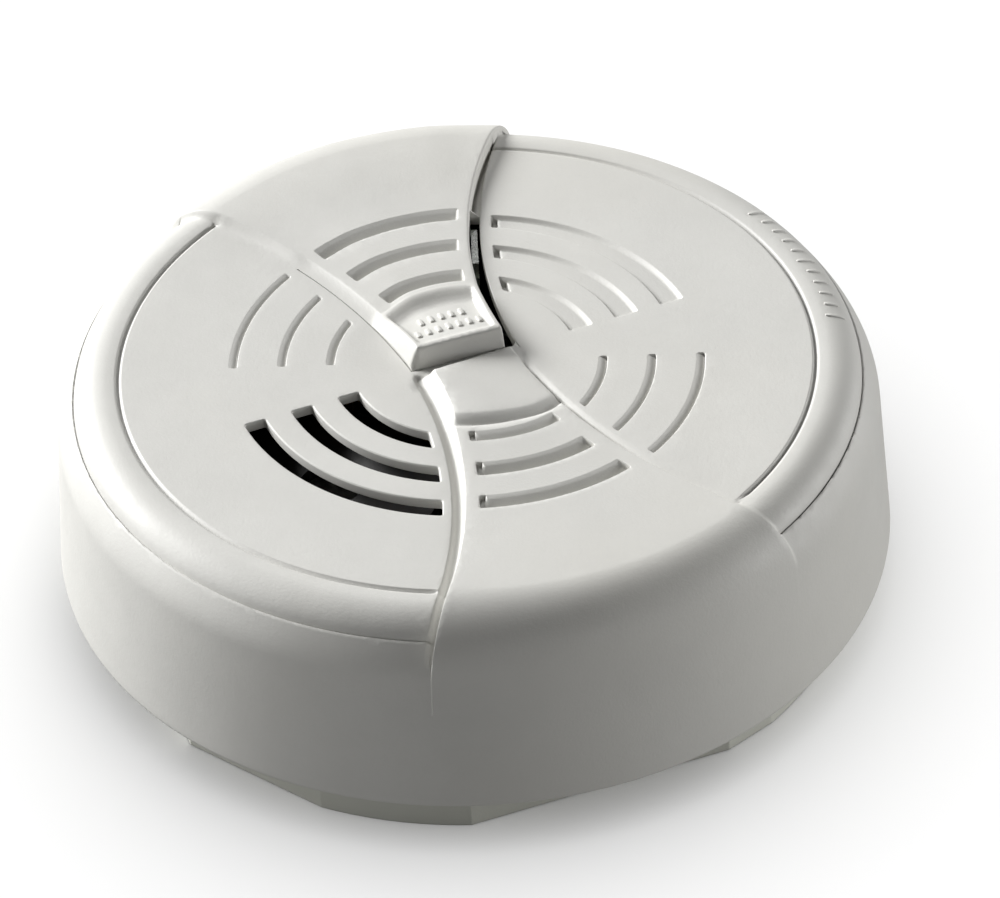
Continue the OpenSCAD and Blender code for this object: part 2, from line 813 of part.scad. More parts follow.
mounting_bracket();
rear_base();
front_cover();
test_lever();
circuit_board();
board_screws();
chamber_base();
chamber_shield();
collector_plate();
source_holder();
horn_cup();
horn_cap();
piezo_disc();
piezo_ceramic();
horn_contacts();
led_green();
led_red();
light_guide();
detector_ic();
driver_ic();
electrolytic_capacitors();
film_capacitor();
ceramic_capacitors();
resistors();
diodes();
varistor();
transistors();
power_socket();
power_pins();
contact_stand();
test_contact_leaf();
contact_post();
battery_drawer();
battery_case();
battery_snaps();
battery_contacts();
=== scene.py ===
"""Looks of a ceiling smoke alarm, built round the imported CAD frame.

It lies face up: the ceiling side is at z = 0, the face looks along +Z, the front is -Y and the
left -X. The face holds a back fan (with the test lever), a front fan, and flat side sectors.

Housing and lever are drawn in a developed plane: a point keeps its angle round the centre, and
its distance rho from the centre is measured along the surface, over the shoulder and down the
wall. Lengths are millimetres until they are handed to Blender; shader lengths are metres.
"""
import json
import math
from types import SimpleNamespace
import bpy
import numpy as np
from mathutils import Matrix, Vector
from mathutils.geometry import delaunay_2d_cdt


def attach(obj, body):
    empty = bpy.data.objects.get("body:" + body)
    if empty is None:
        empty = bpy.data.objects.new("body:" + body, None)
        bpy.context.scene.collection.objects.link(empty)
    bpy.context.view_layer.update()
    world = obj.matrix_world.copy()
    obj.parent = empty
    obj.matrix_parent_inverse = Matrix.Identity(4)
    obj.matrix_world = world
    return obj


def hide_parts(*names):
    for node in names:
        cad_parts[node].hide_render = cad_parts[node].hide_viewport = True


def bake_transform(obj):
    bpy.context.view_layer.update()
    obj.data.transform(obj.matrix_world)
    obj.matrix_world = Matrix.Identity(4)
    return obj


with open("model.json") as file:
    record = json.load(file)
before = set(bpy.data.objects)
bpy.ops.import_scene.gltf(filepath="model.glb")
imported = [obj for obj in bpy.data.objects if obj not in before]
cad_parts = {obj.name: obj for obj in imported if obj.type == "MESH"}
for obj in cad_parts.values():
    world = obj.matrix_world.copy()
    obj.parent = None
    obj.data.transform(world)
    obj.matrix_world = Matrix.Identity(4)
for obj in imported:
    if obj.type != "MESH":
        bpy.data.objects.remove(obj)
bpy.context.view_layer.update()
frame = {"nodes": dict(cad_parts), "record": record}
MM = 0.001
TURN = 2 * math.pi

# ---------------------------------------------------------------- main sizes
ZR = 46.5                    # height of the groove ring; section heights are measured from it
R_EDGE, R_WALL = 72.9, 71.1  # housing radius at its lower edge and at the shoulder
Z_EDGE = 10.0                # lower edge of the housing
FIL, FIL_IN = 10.5, 8.1      # shoulder fillet, outside and inside
RC = R_WALL - FIL
RHO_W = RC + FIL * math.pi / 2   # rho at the top of the wall
RHO_E = RHO_W + 26.6             # and at the lower edge
DISC = 0.25                  # side sectors above the ring's plane
CEIL = -1.6                  # inside of the face
WALL_IN = CEIL - FIL_IN      # where the inner shoulder meets the wall
R_EDGE_IN = R_EDGE - 2.35
SNAP_Z, SNAP_DEPTH = (16.35, 14.25), 0.55    # groove inside the wall
RING, RHO_G = 60.0, 68.55    # rho of the groove ring and of the shoulder's fine groove
SEAM = 41.55                 # where the lever's moulding goes over into the housing
SLIT_END = 40.3              # outer end of the slit on the lever's right
GAP_END, GAP_W = 40.0, 0.22  # gap on the lever's left
PAD_GAP = 0.18               # gap in front of the push pad
PAD_R = 19.3                 # outer radius of the push pad
SLOT_R, PITCH, SLOT_W = 40.75, 8.55, 3.75
WINDOW_X, WINDOW_Z = 27.3, (14.9, 36.0)  # drawer window in the back wall: half width, heights
WINDOW_CORNER = 1.0
CORNER_R = 1.4               # rounded corner between the slit and the pad


def sstep(a, b, x):
    """Smooth step from 0 at a to 1 at b."""
    t = np.clip((x - a) / (b - a), 0, 1)
    return t * t * (3 - 2 * t)


def lerp(a, b, t):
    return a + (b - a) * t


def ramp01(x):
    return np.clip(x, 0, 1)


def at(table, x):
    """Value at x of a table given as (places, values)."""
    return np.interp(x, *table)


def rounding(t):
    """Drop of a rounded edge: 1 at its brink (t = 0), 0 from t = 1 on."""
    return 1 - np.sqrt(ramp01(1 - (1 - ramp01(t)) ** 2))


def polar(r, a):
    return np.stack([r * np.cos(a), r * np.sin(a)], 1)


def direction(degrees):
    a = math.radians(degrees)
    return np.array([math.cos(a), math.sin(a)])


def unit(v):
    return v / np.linalg.norm(v)


def perp(v):
    """v turned a quarter turn counter-clockwise."""
    return np.array([-v[1], v[0]])


# ---------------------------------------------------------------- outline curves
def resample(pts, step):
    d = np.concatenate([[0], np.cumsum(np.hypot(*np.diff(pts, axis=0).T))])
    n = max(2, int(round(d[-1] / step)) + 1)
    t = np.linspace(0, d[-1], n)
    return np.stack([np.interp(t, d, pts[:, 0]), np.interp(t, d, pts[:, 1])], 1)


def fan_edge(centre, radius, side, tail, step=0.5):
    """A circle from near the hub out to the wall, then straight down the wall by tail."""
    reach = math.hypot(*centre)
    r = np.concatenate([np.linspace(reach - radius + 1e-3, 12, 30)[:-1],
                        np.linspace(12, R_WALL - 0.02, 150)])
    cosine = (r ** 2 + reach * reach - radius * radius) / (2 * r * reach)
    th = math.atan2(centre[1], centre[0]) + side * np.arccos(np.clip(cosine, -1, 1))
    rho = np.where(r < RC, r, RC + FIL * np.arcsin(ramp01((r - RC) / FIL)))
    down = np.arange(rho[-1] + step, rho[-1] + tail, step)
    return resample(np.concatenate([polar(rho, th), polar(down, th[-1])]), step)


def offset(pts, d):
    """The line moved d to its left; d is one number or one per point."""
    t = np.gradient(pts, axis=0)
    t /= np.hypot(*t.T)[:, None]
    return pts + np.stack([-t[:, 1], t[:, 0]], 1) * np.reshape(d, (-1, 1))


def from_segments(a, b, pts):
    """Vectors to every point from the nearest place on every segment a-b."""
    ap = pts[:, None, :] - a[None]
    ab = b - a
    t = ramp01((ap * ab[None]).sum(2) / (ab ** 2).sum(1))
    return ap - t[..., None] * ab[None]


def chunks(n, size):
    return (slice(i, i + size) for i in range(0, n, size))


def sdist(line, pts):
    """Signed distance from points to an open line, positive on its left."""
    a, b = line[:-1], line[1:]
    ab = b - a
    left = np.stack([-ab[:, 1], ab[:, 0]], 1) / np.sqrt((ab ** 2).sum(1))[:, None]
    out = np.empty(len(pts))
    for part in chunks(len(pts), 4000):
        q = from_segments(a, b, pts[part])
        d = np.sqrt((q ** 2).sum(2))
        k = d.argmin(1)
        row = np.arange(len(q))
        side = (q[row, k] * left[k]).sum(1)
        out[part] = np.where(side >= 0, 1, -1) * d[row, k]
    return out


def near_loop(loop, pts, margin=0.0):
    lo, hi = loop.min(0) - margin, loop.max(0) + margin
    return np.where(((pts > lo) & (pts < hi)).all(1))[0]


def inside_loop(loop, pts):
    out = np.zeros(len(pts), bool)
    near = near_loop(loop, pts)
    ax, ay = loop.T
    bx, by = np.roll(loop, -1, axis=0).T
    for part in chunks(len(near), 3000):
        x, y = pts[near[part]].T[:, :, None]
        spans = (ay > y) != (by > y)
        # level segments divide by zero, but they never span y
        with np.errstate(divide="ignore", invalid="ignore"):
            cut = (bx - ax) * (y - ay) / (by - ay) + ax
        out[near[part]] = (spans & (x < cut)).sum(1) % 2 == 1
    return out


def loop_sdist(loop, pts):
    """Signed distance to a closed loop, negative inside; 9 for points well away from it."""
    out = np.full(len(pts), 9.0)
    near = near_loop(loop, pts, 1.2)
    for part in chunks(len(near), 3000):
        q = from_segments(loop, np.roll(loop, -1, axis=0), pts[near[part]])
        out[near[part]] = np.sqrt((q ** 2).sum(2).min(1))
    return np.where(inside_loop(loop, pts), -out, out)


# The fan edges, each running from the hub outwards.
SLIT_IN = fan_edge((88.07, 32.27), 86.43, 1, 8.0)     # lever side of the slit, back fan's right
SLIT_OUT = fan_edge((99.89, 35.23), 96.30, 1, 8.0)    # disc side of the slit
BACK_LEFT = fan_edge((-112.27, -47.15), 112.11, -1, 8.0)
FRONT_LEFT = fan_edge((-98.13, -36.48), 94.85, 1, 8.5)
FRONT_RIGHT = fan_edge((99.54, 41.18), 99.09, -1, 8.5)
# Foot of the push pad's front, and crest of the pad opposite, each from left to right.
PAD_L, PAD_RIGHT = np.array([-9.5, -2.3]), np.array([8.1, 3.2])
CREST_L, CREST_RIGHT = np.array([-6.2, -4.9]), np.array([8.05, 2.7])
PAD_ALONG = unit(PAD_RIGHT - PAD_L)
CREST_ALONG = unit(CREST_RIGHT - CREST_L)
PAD_BACK, CREST_BACK = perp(PAD_ALONG), perp(CREST_ALONG)


def corner_centre():
    """The centre that lies CORNER_R from both the slit's outer side and the pad's front."""
    along = np.linspace(12, 19.5, 400)
    c = PAD_L + PAD_ALONG * along[:, None] + PAD_BACK * CORNER_R
    return c[np.argmin(np.abs(sdist(SLIT_OUT, c) - CORNER_R))]


CORNER = corner_centre()


def in_corner(p):
    along = (p.pts - CORNER) @ PAD_ALONG
    beyond = np.hypot(*(p.pts - CORNER).T) > CORNER_R - 1e-6
    return (p.pad < CORNER_R) & (along > 0) & (along < 4) & beyond


def locate(pts):
    """Where plane points lie; distances from fan edges are positive towards their fan."""
    return SimpleNamespace(
        pts=pts, x=pts[:, 0], y=pts[:, 1],
        rho=np.hypot(*pts.T), th=np.arctan2(pts[:, 1], pts[:, 0]),
        slit_in=sdist(SLIT_IN, pts), slit_out=sdist(SLIT_OUT, pts),
        back_left=-sdist(BACK_LEFT, pts),
        front_left=sdist(FRONT_LEFT, pts), front_right=-sdist(FRONT_RIGHT, pts),
        pad=(pts - PAD_L) @ PAD_BACK,           # behind the pad's front
        crest=-((pts - CREST_L) @ CREST_BACK))  # in front of the crest


# ---------------------------------------------------------------- heights of the face
# Widths of the sloping fan edges: rho, width.
BACK_LEFT_W = ((6, 8, 18.5, 20, 28.5, 39, 45, 57, 62, 66, 71, 80),
               (1.9, 1.95, 2.2, 3.0, 2.95, 2.85, 2.6, 2.4, 2.0, 1.3, 1.2, 1.1))
FRONT_LEFT_W = ((0, 12, 16, 19.5, 25, 35, 45, 50, 55, 62, 66, 72, 80),
                (3.2, 3.2, 3.05, 2.5, 2.25, 2.1, 2.0, 1.95, 1.85, 1.6, 1.5, 1.4, 1.2))
FRONT_RIGHT_W = ((0, 45, 55, 60, 80), (0.38, 0.38, 0.6, 1.2, 0.9))
FRONT_LEFT_FOOT = 0.9        # channel bottom's width along the front left edge
RIGHT_FOOT, RIGHT_TRIM = 0.22, 0.05    # foot of the front right edge, and width less than tabled
# Depths of the channels along the front fan's edges: rho, depth; distance from edge, share.
LEFT_DIP = ((7.5, 10, 60, 70, 77), (0.0, 0.85, 0.85, 0.6, 0.0))
LEFT_DIP_SIDE = ((-0.6, -0.35, 0.45, FRONT_LEFT_FOOT), (0, 0.12, 0.97, 1.0))
RIGHT_DIP = ((9.3, 10.6, 15, 20, 30, 40, 50, 58), (0.0, 0.6, 0.8, 0.85, 0.75, 0.5, 0.3, 0.05))
NICK = ((10, 14, 30, 44), (0, 0.55, 0.55, 0))
NICK_SIDE = ((-0.15, 0.05, 0.22, 0.5), (0, 1, 0.7, 0))
# Fan heights: angle in degrees, height; near the hub and near the rim.
BACK_HUB = ((80, 90, 120, 134), (1.95, 1.95, 1.95, 1.15))
BACK_RIM = ((80, 88, 94, 110, 135), (2.4, 2.5, 2.85, 2.85, 1.9))
FRONT_HUB = ((-97, -90, -80, -70, -60, -46), (1.75, 1.7, 1.5, 1.2, 0.85, 0.33))
FRONT_RIM = ((-97, -90, -80, -70, -60, -46), (2.05, 2.0, 1.8, 1.55, 1.2, 0.7))
PAD_TOP = 4.25               # height of the push pad's front edge
PAD_FRONT = ((0, 0.18, 1.05, 1.35, 1.6), (0.0, 0.06, 0.9, 0.985, 1.0))  # distance, share of height
CREST_TOP = ((0, 3, 9, 16), (2.5, 2.25, 1.35, 0.42))    # distance along the crest, height
SLOPE_R, STEP_R = 16.3, 19.05   # front fan: start of the slope behind the crest, and its foot
FINE_GROOVE = ((-0.5, -0.12, 0.1, 0.4), (0, 0.85, 0.85, 0))  # distance from RHO_G, share
# Side sectors: the disc's edge, then the rim band as an arc, then a curve down to the wall.
DISC_EDGE, BAND_START, BAND_FOOT = 59.4, 60.35, 0.10
BAND_CENTRE, BAND_R, BAND_ANGLES = (62, -6.5), 6.8, (-14.0, 61.93)
SHOULDER = (np.array([68.0, -3.3]), direction(-54) * 7.6,
            np.array([R_WALL, -10.0]), direction(-86) * 7.6)    # point, tangent, point, tangent


def pad_shift(th):
    """The groove round the pad opposite lies further out towards the right."""
    return 1.1 * sstep(-72, -38, np.degrees(th))


def fan_height(hub, rim, rho, th):
    base = at(hub, np.degrees(th))
    return base + (at(rim, np.degrees(th)) - base) * sstep(34, 61, rho)


def side_profile(rho):
    """(r, z) of the side sectors: disc, groove ring, rim band, shoulder, wall."""
    r = rho.copy()
    z = np.full_like(rho, DISC)
    m = (rho > DISC_EDGE) & (rho <= BAND_START)
    z[m] = lerp(DISC, BAND_FOOT, (rho[m] - DISC_EDGE) / (BAND_START - DISC_EDGE))
    m = (rho > BAND_START) & (rho <= RHO_G)
    a = np.radians(lerp(*BAND_ANGLES, (rho[m] - BAND_START) / (RHO_G - BAND_START)))
    r[m] = BAND_CENTRE[0] + BAND_R * np.sin(a)
    z[m] = BAND_CENTRE[1] + BAND_R * np.cos(a)
    m = (rho > RHO_G) & (rho <= RHO_W)
    t = ((rho[m] - RHO_G) / (RHO_W - RHO_G))[:, None]
    p0, t0, p1, t1 = SHOULDER
    q = ((2 * t ** 3 - 3 * t ** 2 + 1) * p0 + (t ** 3 - 2 * t ** 2 + t) * t0
         + (3 * t ** 2 - 2 * t ** 3) * p1 + (t ** 3 - t ** 2) * t1)
    r[m], z[m] = q[:, 0], q[:, 1]
    m = rho > RHO_W
    t = (rho[m] - RHO_W) / (RHO_E - RHO_W)
    r[m] = lerp(R_WALL, R_EDGE, t)
    z[m] = lerp(SHOULDER[2][1], Z_EDGE - ZR, t)
    return r, z


def shell_section(rho, top, fillet, r_edge):
    """(r, z) of a top at the given heights, a round shoulder and a wall."""
    r = rho.copy()
    z = top.copy()
    m = (rho > RC) & (rho <= RHO_W)
    a = (rho[m] - RC) / FIL
    r[m] = RC + fillet * np.sin(a)
    z[m] = top[m] - fillet + fillet * np.cos(a)
    m = rho > RHO_W
    t = (rho[m] - RHO_W) / (RHO_E - RHO_W)
    r[m] = lerp(RC + fillet, r_edge, t)
    z[m] = lerp(top[m] - fillet, Z_EDGE - ZR, t)
    return r, z


def inner_surface(pts):
    rho = np.hypot(*pts.T)
    r, z = shell_section(rho, np.full_like(rho, CEIL), FIL_IN, R_EDGE_IN)
    r[(z < SNAP_Z[0] - ZR) & (z > SNAP_Z[1] - ZR)] += SNAP_DEPTH
    return np.column_stack([polar(r, np.arctan2(pts[:, 1], pts[:, 0])), z + ZR])


# ---------------------------------------------------------------- slots
def slot_defs():
    """Three slots of each sort. Ends are angles in degrees or (fan edge, distance from it)."""
    out = []
    for k in range(3):
        r1 = SLOT_R - k * PITCH
        r0 = r1 - SLOT_W
        out += [
            dict(kind="through", r0=r0, r1=r1, start=200.2, end=(FRONT_LEFT, -2.0)),
            dict(kind="blind", r0=r0 + 0.3, r1=r1 + 0.05, start=20.2, end=(SLIT_OUT, -2.0),
                 depth=0.62, widen=0.95),
            dict(kind="ramp", r0=37.35 - 8.65 * k, r1=40.5 - 8.65 * k, start=(SLIT_IN, 2.0),
                 end=129.6, deep="in", slope=(0.26, 0.085)),
            dict(kind="ramp", r0=r0 + (0.6, 0.45, 0.8)[k], r1=r1 - (0, 0, 0.5)[k],
                 start=(FRONT_LEFT, 4.15), end=(FRONT_RIGHT, -3.3), deep="out",
                 slope=(0.14, 0.17), notch=True),
            dict(kind="fine", r0=39.5 - 8.4 * k, r1=41.0 - 8.4 * k, start=(BACK_LEFT, 2.0),
                 end=178.2, deep="in", slope=(0.06, 0.25)),
            dict(kind="fine", r0=39.5 - 8.4 * k, r1=41.1 - 8.4 * k, start=(FRONT_RIGHT, 2.0),
                 end=-1.8, deep="out", slope=(0.06, 0.25))]
    return out


def edge_angle(edge, d, r):
    """Angle at radius r of the line at signed distance d from a fan edge."""
    line = offset(edge, d)
    radius = np.hypot(*line.T)
    th = np.unwrap(np.arctan2(line[:, 1], line[:, 0]))
    m = radius < 57
    i = np.argsort(radius[m])
    return np.interp(r, radius[m][i], th[m][i])


def bend(a, corner, b):
    """Three points of a rounded corner between a and b."""
    a, corner, b = map(np.asarray, (a, corner, b))
    return np.array([(1 - t) ** 2 * a + 2 * t * (1 - t) * corner + t * t * b
                     for t in (0.25, 0.5, 0.75)])


def slot_outline(slot, grow=0.0, step=0.8):
    """Counter-clockwise outline with rounded corners; grow moves it outwards."""
    n, n_arc = 13, 60
    rr = np.linspace(slot["r0"] - grow, slot["r1"] + grow, n)

    def end_angles(end):
        if isinstance(end, tuple):
            return edge_angle(*end, rr)
        return np.full(n, math.radians(end))

    def slant(angles):
        return np.sqrt(1 + (rr * np.gradient(angles, rr)) ** 2)

    e0, e1 = end_angles(slot["start"]), end_angles(slot["end"])
    e1 = e1 - TURN * round(float(e1[0] - e0[0]) / TURN)
    if e1[0] < e0[0]:
        e0, e1 = e1, e0
    k0, k1 = slant(e0), slant(e1)
    e0 = e0 - grow * k0 / rr
    e1 = e1 + grow * k1 / rr
    corner = max(0.1, min(0.45, (slot["r1"] - slot["r0"]) * 0.3) + grow)
    # the blind slots widen inwards towards their right ends
    wide = np.linspace(rr[0] - slot.get("widen", 0), rr[-1], n)
    sides = [polar(np.full(n_arc, rr[-1]), np.linspace(e0[-1], e1[-1], n_arc)),
             polar(rr[::-1], e1[::-1]),
             polar(np.linspace(rr[0], wide[0], n_arc), np.linspace(e1[0], e0[0], n_arc)),
             polar(wide, e0)]
    runs = []
    for side in sides:
        d = np.concatenate([[0], np.cumsum(np.hypot(*np.diff(side, axis=0).T))])
        m = max(2, int(round((d[-1] - 2 * corner) / step)) + 1)
        t = np.linspace(corner, d[-1] - corner, m)
        runs.append(np.stack([np.interp(t, d, side[:, 0]), np.interp(t, d, side[:, 1])], 1))
    out = []
    for i in range(4):
        out += [runs[i], bend(runs[i][-1], sides[i][-1], runs[(i + 1) % 4][0])]
    return np.concatenate(out)


SLOTS = slot_defs()
for slot in SLOTS:
    slot["loop"] = slot_outline(slot)


def slot_cut(slot, p):
    """How deep a slot cuts into the outer surface."""
    sd = loop_sdist(slot["loop"], p.pts)
    if slot["kind"] == "through":
        return 0.28 * rounding(sd / 0.3)
    if slot["kind"] == "blind":
        # flat floor, sloping outer side, deeper notch at the slit end
        slope_w = 0.7
        depth = slot["depth"] * ramp01((slot["r1"] - p.rho) / slope_w)
        depth = depth + (0.7 * (1 - sstep(3.0, 3.25, -p.slit_out))
                         * ramp01((slot["r1"] - slope_w - p.rho) / 0.2))
    else:
        # floor falls away from one side to the other
        across = slot["r1"] - p.rho if slot["deep"] == "in" else p.rho - slot["r0"]
        across = np.clip(across, 0, None)
        linear, square = slot["slope"]
        depth = 0.04 + linear * across + square * across * across
        if slot.get("notch"):
            # deeper at the left end
            depth = np.maximum(depth, 0.95 * (1 - sstep(5.15, 5.35, p.front_left)))
    return depth * np.interp(-sd, [-0.14, 0.0, 0.12], [0, 0.12, 1.0])


# ---------------------------------------------------------------- outer surface
def side_grooves(p):
    """Depth of the groove ring, which fades beside the front fan, and of the fine groove."""
    ring = 0.62 * ramp01(1 - np.abs(p.rho - RING) / 0.4)
    by_left = ramp01((-p.front_left - 1.2) / 0.5)
    by_right = ramp01((-p.front_right - 1.3) / 0.5)
    fade = np.where(p.y < 0, np.where(p.x < 0, by_left, by_right), 1)
    return ring * fade + 0.65 * at(FINE_GROOVE, p.rho - RHO_G)


def back_fan_height(p):
    """Push pad with its finger pocket up to PAD_R, plain fan beyond."""
    plain = fan_height(BACK_HUB, BACK_RIM, p.rho, p.th)
    behind = np.clip(p.pad, 0, None)
    share = behind / (behind + np.clip(PAD_R - p.rho, 1e-6, None))
    pad = PAD_TOP - (PAD_TOP - plain) * share ** 1.8
    pocket = (sstep(0.75, 1.55, p.slit_in)
              * sstep(0.35, 1.4, p.back_left - at(BACK_LEFT_W, p.rho))
              * sstep(0, 0.9, p.pad - 2.0) * sstep(0, 3.9, 18.8 - p.rho))
    pad = pad - lerp(0.35, 1.7, sstep(0.0, 0.7, share)) * pocket
    foot = DISC - 0.1
    pad = foot + (pad - foot) * at(PAD_FRONT, p.pad)
    return np.where(p.rho < PAD_R, pad, plain)


def front_fan_height(p):
    """The pad opposite, the slope down behind it, a step, and the plain fan."""
    plain = fan_height(FRONT_HUB, FRONT_RIM, p.rho, p.th)
    top = at(CREST_TOP, (p.pts - CREST_L) @ CREST_ALONG)
    low = plain - 0.85
    r = p.rho - pad_shift(p.th)
    slope = top + (low - top) * ramp01((r - SLOPE_R) / (STEP_R - SLOPE_R)) ** 1.6
    beyond = low + (plain - low) * ramp01((r - STEP_R) / 0.2)
    z = np.where(r < SLOPE_R, top, np.where(r < STEP_R, slope, beyond))
    return DISC + (z - DISC) * sstep(-1.7, 0.1, p.crest)


def back_left_rise(p):
    """Share of the fan's height: convex near the hub, hollow further out, then S-shaped."""
    t = ramp01(p.back_left / at(BACK_LEFT_W, p.rho))
    inner = lerp(1 - (1 - t) ** 1.35, 0.85 * t ** 2.4 + 0.15 * t, sstep(18.5, 20.5, p.rho))
    return lerp(inner, sstep(0, 1, t), sstep(38, 43, p.rho))


def front_left_rise(p):
    width = at(FRONT_LEFT_W, p.rho) - FRONT_LEFT_FOOT
    t = ramp01((p.front_left - FRONT_LEFT_FOOT) / width) ** 1.2
    smooth = sstep(0, 1, t)
    return lerp(lerp(t, smooth, 0.55), smooth, sstep(17.5, 20.5, p.rho))


def slit_cut(p):
    """The channel that carries on from the slit, and the rounded edge of the disc beside it."""
    fade = 1 - sstep(59, 67, p.rho)
    channel = (p.slit_in < -1e-3) & (p.slit_out > 0) & (p.y > 0) & ~in_corner(p)
    depth = 1.1 * fade * ramp01(-p.slit_in / 0.14) * ramp01(p.slit_out / 0.14)
    v = -p.slit_out
    edge = (v >= -1e-3) & (v < 0.3) & (p.y > 2) & (p.x < 20)
    return np.where(channel, depth, 0) + np.where(edge, 0.22 * fade * rounding(v / 0.3), 0)


def front_channels(p, area, left_rise, right_rise):
    """Shallow channels along both edges of the front fan, the right one with a narrow nick."""
    left = (area & (p.y < 0) & (p.front_left > -0.6)
            & (p.front_left < at(FRONT_LEFT_W, p.rho)))
    left_cut = at(LEFT_DIP, p.rho) * at(LEFT_DIP_SIDE, p.front_left) * (1 - left_rise)
    right = ((p.x > 0) & (p.y < 6) & (p.pad < 0) & (p.front_right > -1.35)
             & (p.front_right < at(FRONT_RIGHT_W, p.rho) + 0.2))
    dip = at(RIGHT_DIP, p.rho) * ramp01((p.front_right + 1.35) / 1.4) ** 1.3
    nick = at(NICK, p.rho) * at(NICK_SIDE, p.front_right)
    return np.where(left, left_cut, 0) + np.where(right, (dip + nick) * (1 - right_rise), 0)


def surface(pts):
    """xyz of the outer surface over points of the developed plane."""
    p = locate(pts)
    r, z_plain = side_profile(p.rho)
    z = z_plain - side_grooves(p)
    # back fan; its right edge has a small radius
    r_fan, z_fan = shell_section(p.rho, back_fan_height(p), FIL, R_EDGE)
    on_fan = (p.y > -4) & (p.pad > -0.001) & (p.slit_in >= -1e-3) & (p.back_left > 0)
    rise = np.where(on_fan, back_left_rise(p), 0)
    r = r + (r_fan - r) * rise
    z = z + (z_fan - z) * rise
    drop = 0.45 * rounding(p.slit_in / 0.5) * ramp01((z_fan - z_plain) / 0.9)
    z = z - np.where(on_fan, drop, 0) - slit_cut(p)
    # front fan
    r_fan, z_fan = shell_section(p.rho, front_fan_height(p), FIL, R_EDGE)
    left_rise = front_left_rise(p)
    right_w = at(FRONT_RIGHT_W, p.rho) - RIGHT_TRIM
    right_rise = sstep(0, 1, (p.front_right - RIGHT_FOOT) / right_w)
    area = (p.y < 8) & (p.crest > -2.2) & ((p.pad < 0) | (p.rho > 30))
    on_fan = area & (p.front_left > 0) & (p.front_right > 0)
    rise = np.where(on_fan, left_rise * right_rise, 0)
    r = r + (r_fan - r) * rise
    z = z + (z_fan - z) * rise
    z = z - front_channels(p, area, left_rise, right_rise)
    # oval dimple where the front left edge begins
    oval = ((p.x + 7.6) / 1.5) ** 2 + ((p.y + 6.0) / 2.2) ** 2
    z = z - 0.55 * ramp01(1 - oval) * sstep(0, 0.5, -p.front_left)
    for slot in SLOTS:
        z = z - slot_cut(slot, p)
    # lower edge of the wall
    r = r - 0.5 * rounding((RHO_E - p.rho) / 0.8)
    return np.column_stack([polar(r, p.th), z + ZR])


# ---------------------------------------------------------------- lines of the triangulation
# Distances outside each slot's outline that get a line of their own.
SLOT_LINES = {"through": (0.0, 0.1, 0.3), "fine": (0.14, 0.0, -0.12, -0.35, -0.62),
              "blind": (0.14, 0.0, -0.12, -0.4, -0.7, -1.0),
              "ramp": (0.14, 0.0, -0.12, -0.5, -0.95)}


def clip_run(pts, keep):
    """The runs of an open line where keep is true."""
    out, run = [], []
    for p, k in zip(pts, keep):
        if k:
            run.append(p)
            continue
        if len(run) > 1:
            out.append(np.array(run))
        run = []
    if len(run) > 1:
        out.append(np.array(run))
    return out


def arc_pts(rho, a0, a1, step):
    n = max(3, int(abs(a1 - a0) * rho / step) + 1)
    return polar(rho, np.linspace(a0, a1, n))


def curve_between(rho, edge0, edge1, step):
    """Arc at radius rho from one fan edge to another."""
    a0 = float(edge_angle(edge0, 0.0, rho))
    a1 = float(edge_angle(edge1, 0.0, rho))
    return arc_pts(rho, a0, a1 - TURN * round((a1 - a0) / TURN), step)


def window_loop(step=1.6):
    """Outline of the drawer window, drawn in x and z and laid into the developed plane."""
    x1, (z0, z1), cr = WINDOW_X, WINDOW_Z, WINDOW_CORNER
    x0 = -x1
    corners = [(x0, z0), (x1, z0), (x1, z1), (x0, z1)]
    ends = [(x0 + cr, z0), (x1 - cr, z0), (x1, z0 + cr), (x1, z1 - cr),
            (x1 - cr, z1), (x0 + cr, z1), (x0, z1 - cr), (x0, z0 + cr)]
    pts = []
    for i in range(4):
        a, b = np.array(ends[2 * i]), np.array(ends[2 * i + 1])
        t = np.linspace(0, 1, max(2, int(np.hypot(*(b - a)) / step) + 1))[:, None]
        pts += [a * (1 - t) + b * t, bend(b, corners[(i + 1) % 4], ends[(2 * i + 2) % 8])]
    x, z = np.concatenate(pts).T
    z = z - ZR
    # the wall's radius depends on the angle, so it is closed in on in a few rounds
    r = np.full(len(x), 72.0)
    for _ in range(4):
        th = np.arccos(np.clip(x / r, -1, 1))
        top = fan_height(BACK_HUB, BACK_RIM, np.full(len(x), 70.0), th) - FIL
        t = (z - top) / (Z_EDGE - ZR - top)
        r = lerp(R_WALL, R_EDGE, ramp01(t))
    return polar(RHO_W + t * (RHO_E - RHO_W), th)[::-1]


WINDOW = window_loop()


def along(edge, offsets, step=0.9, inner=0, outer=999):
    """Lines beside a fan edge, kept between two radii."""
    for d in offsets:
        line = resample(offset(edge, d), step)
        radius = np.hypot(*line.T)
        for run in clip_run(line, (radius > inner) & (radius < outer)):
            yield run, False


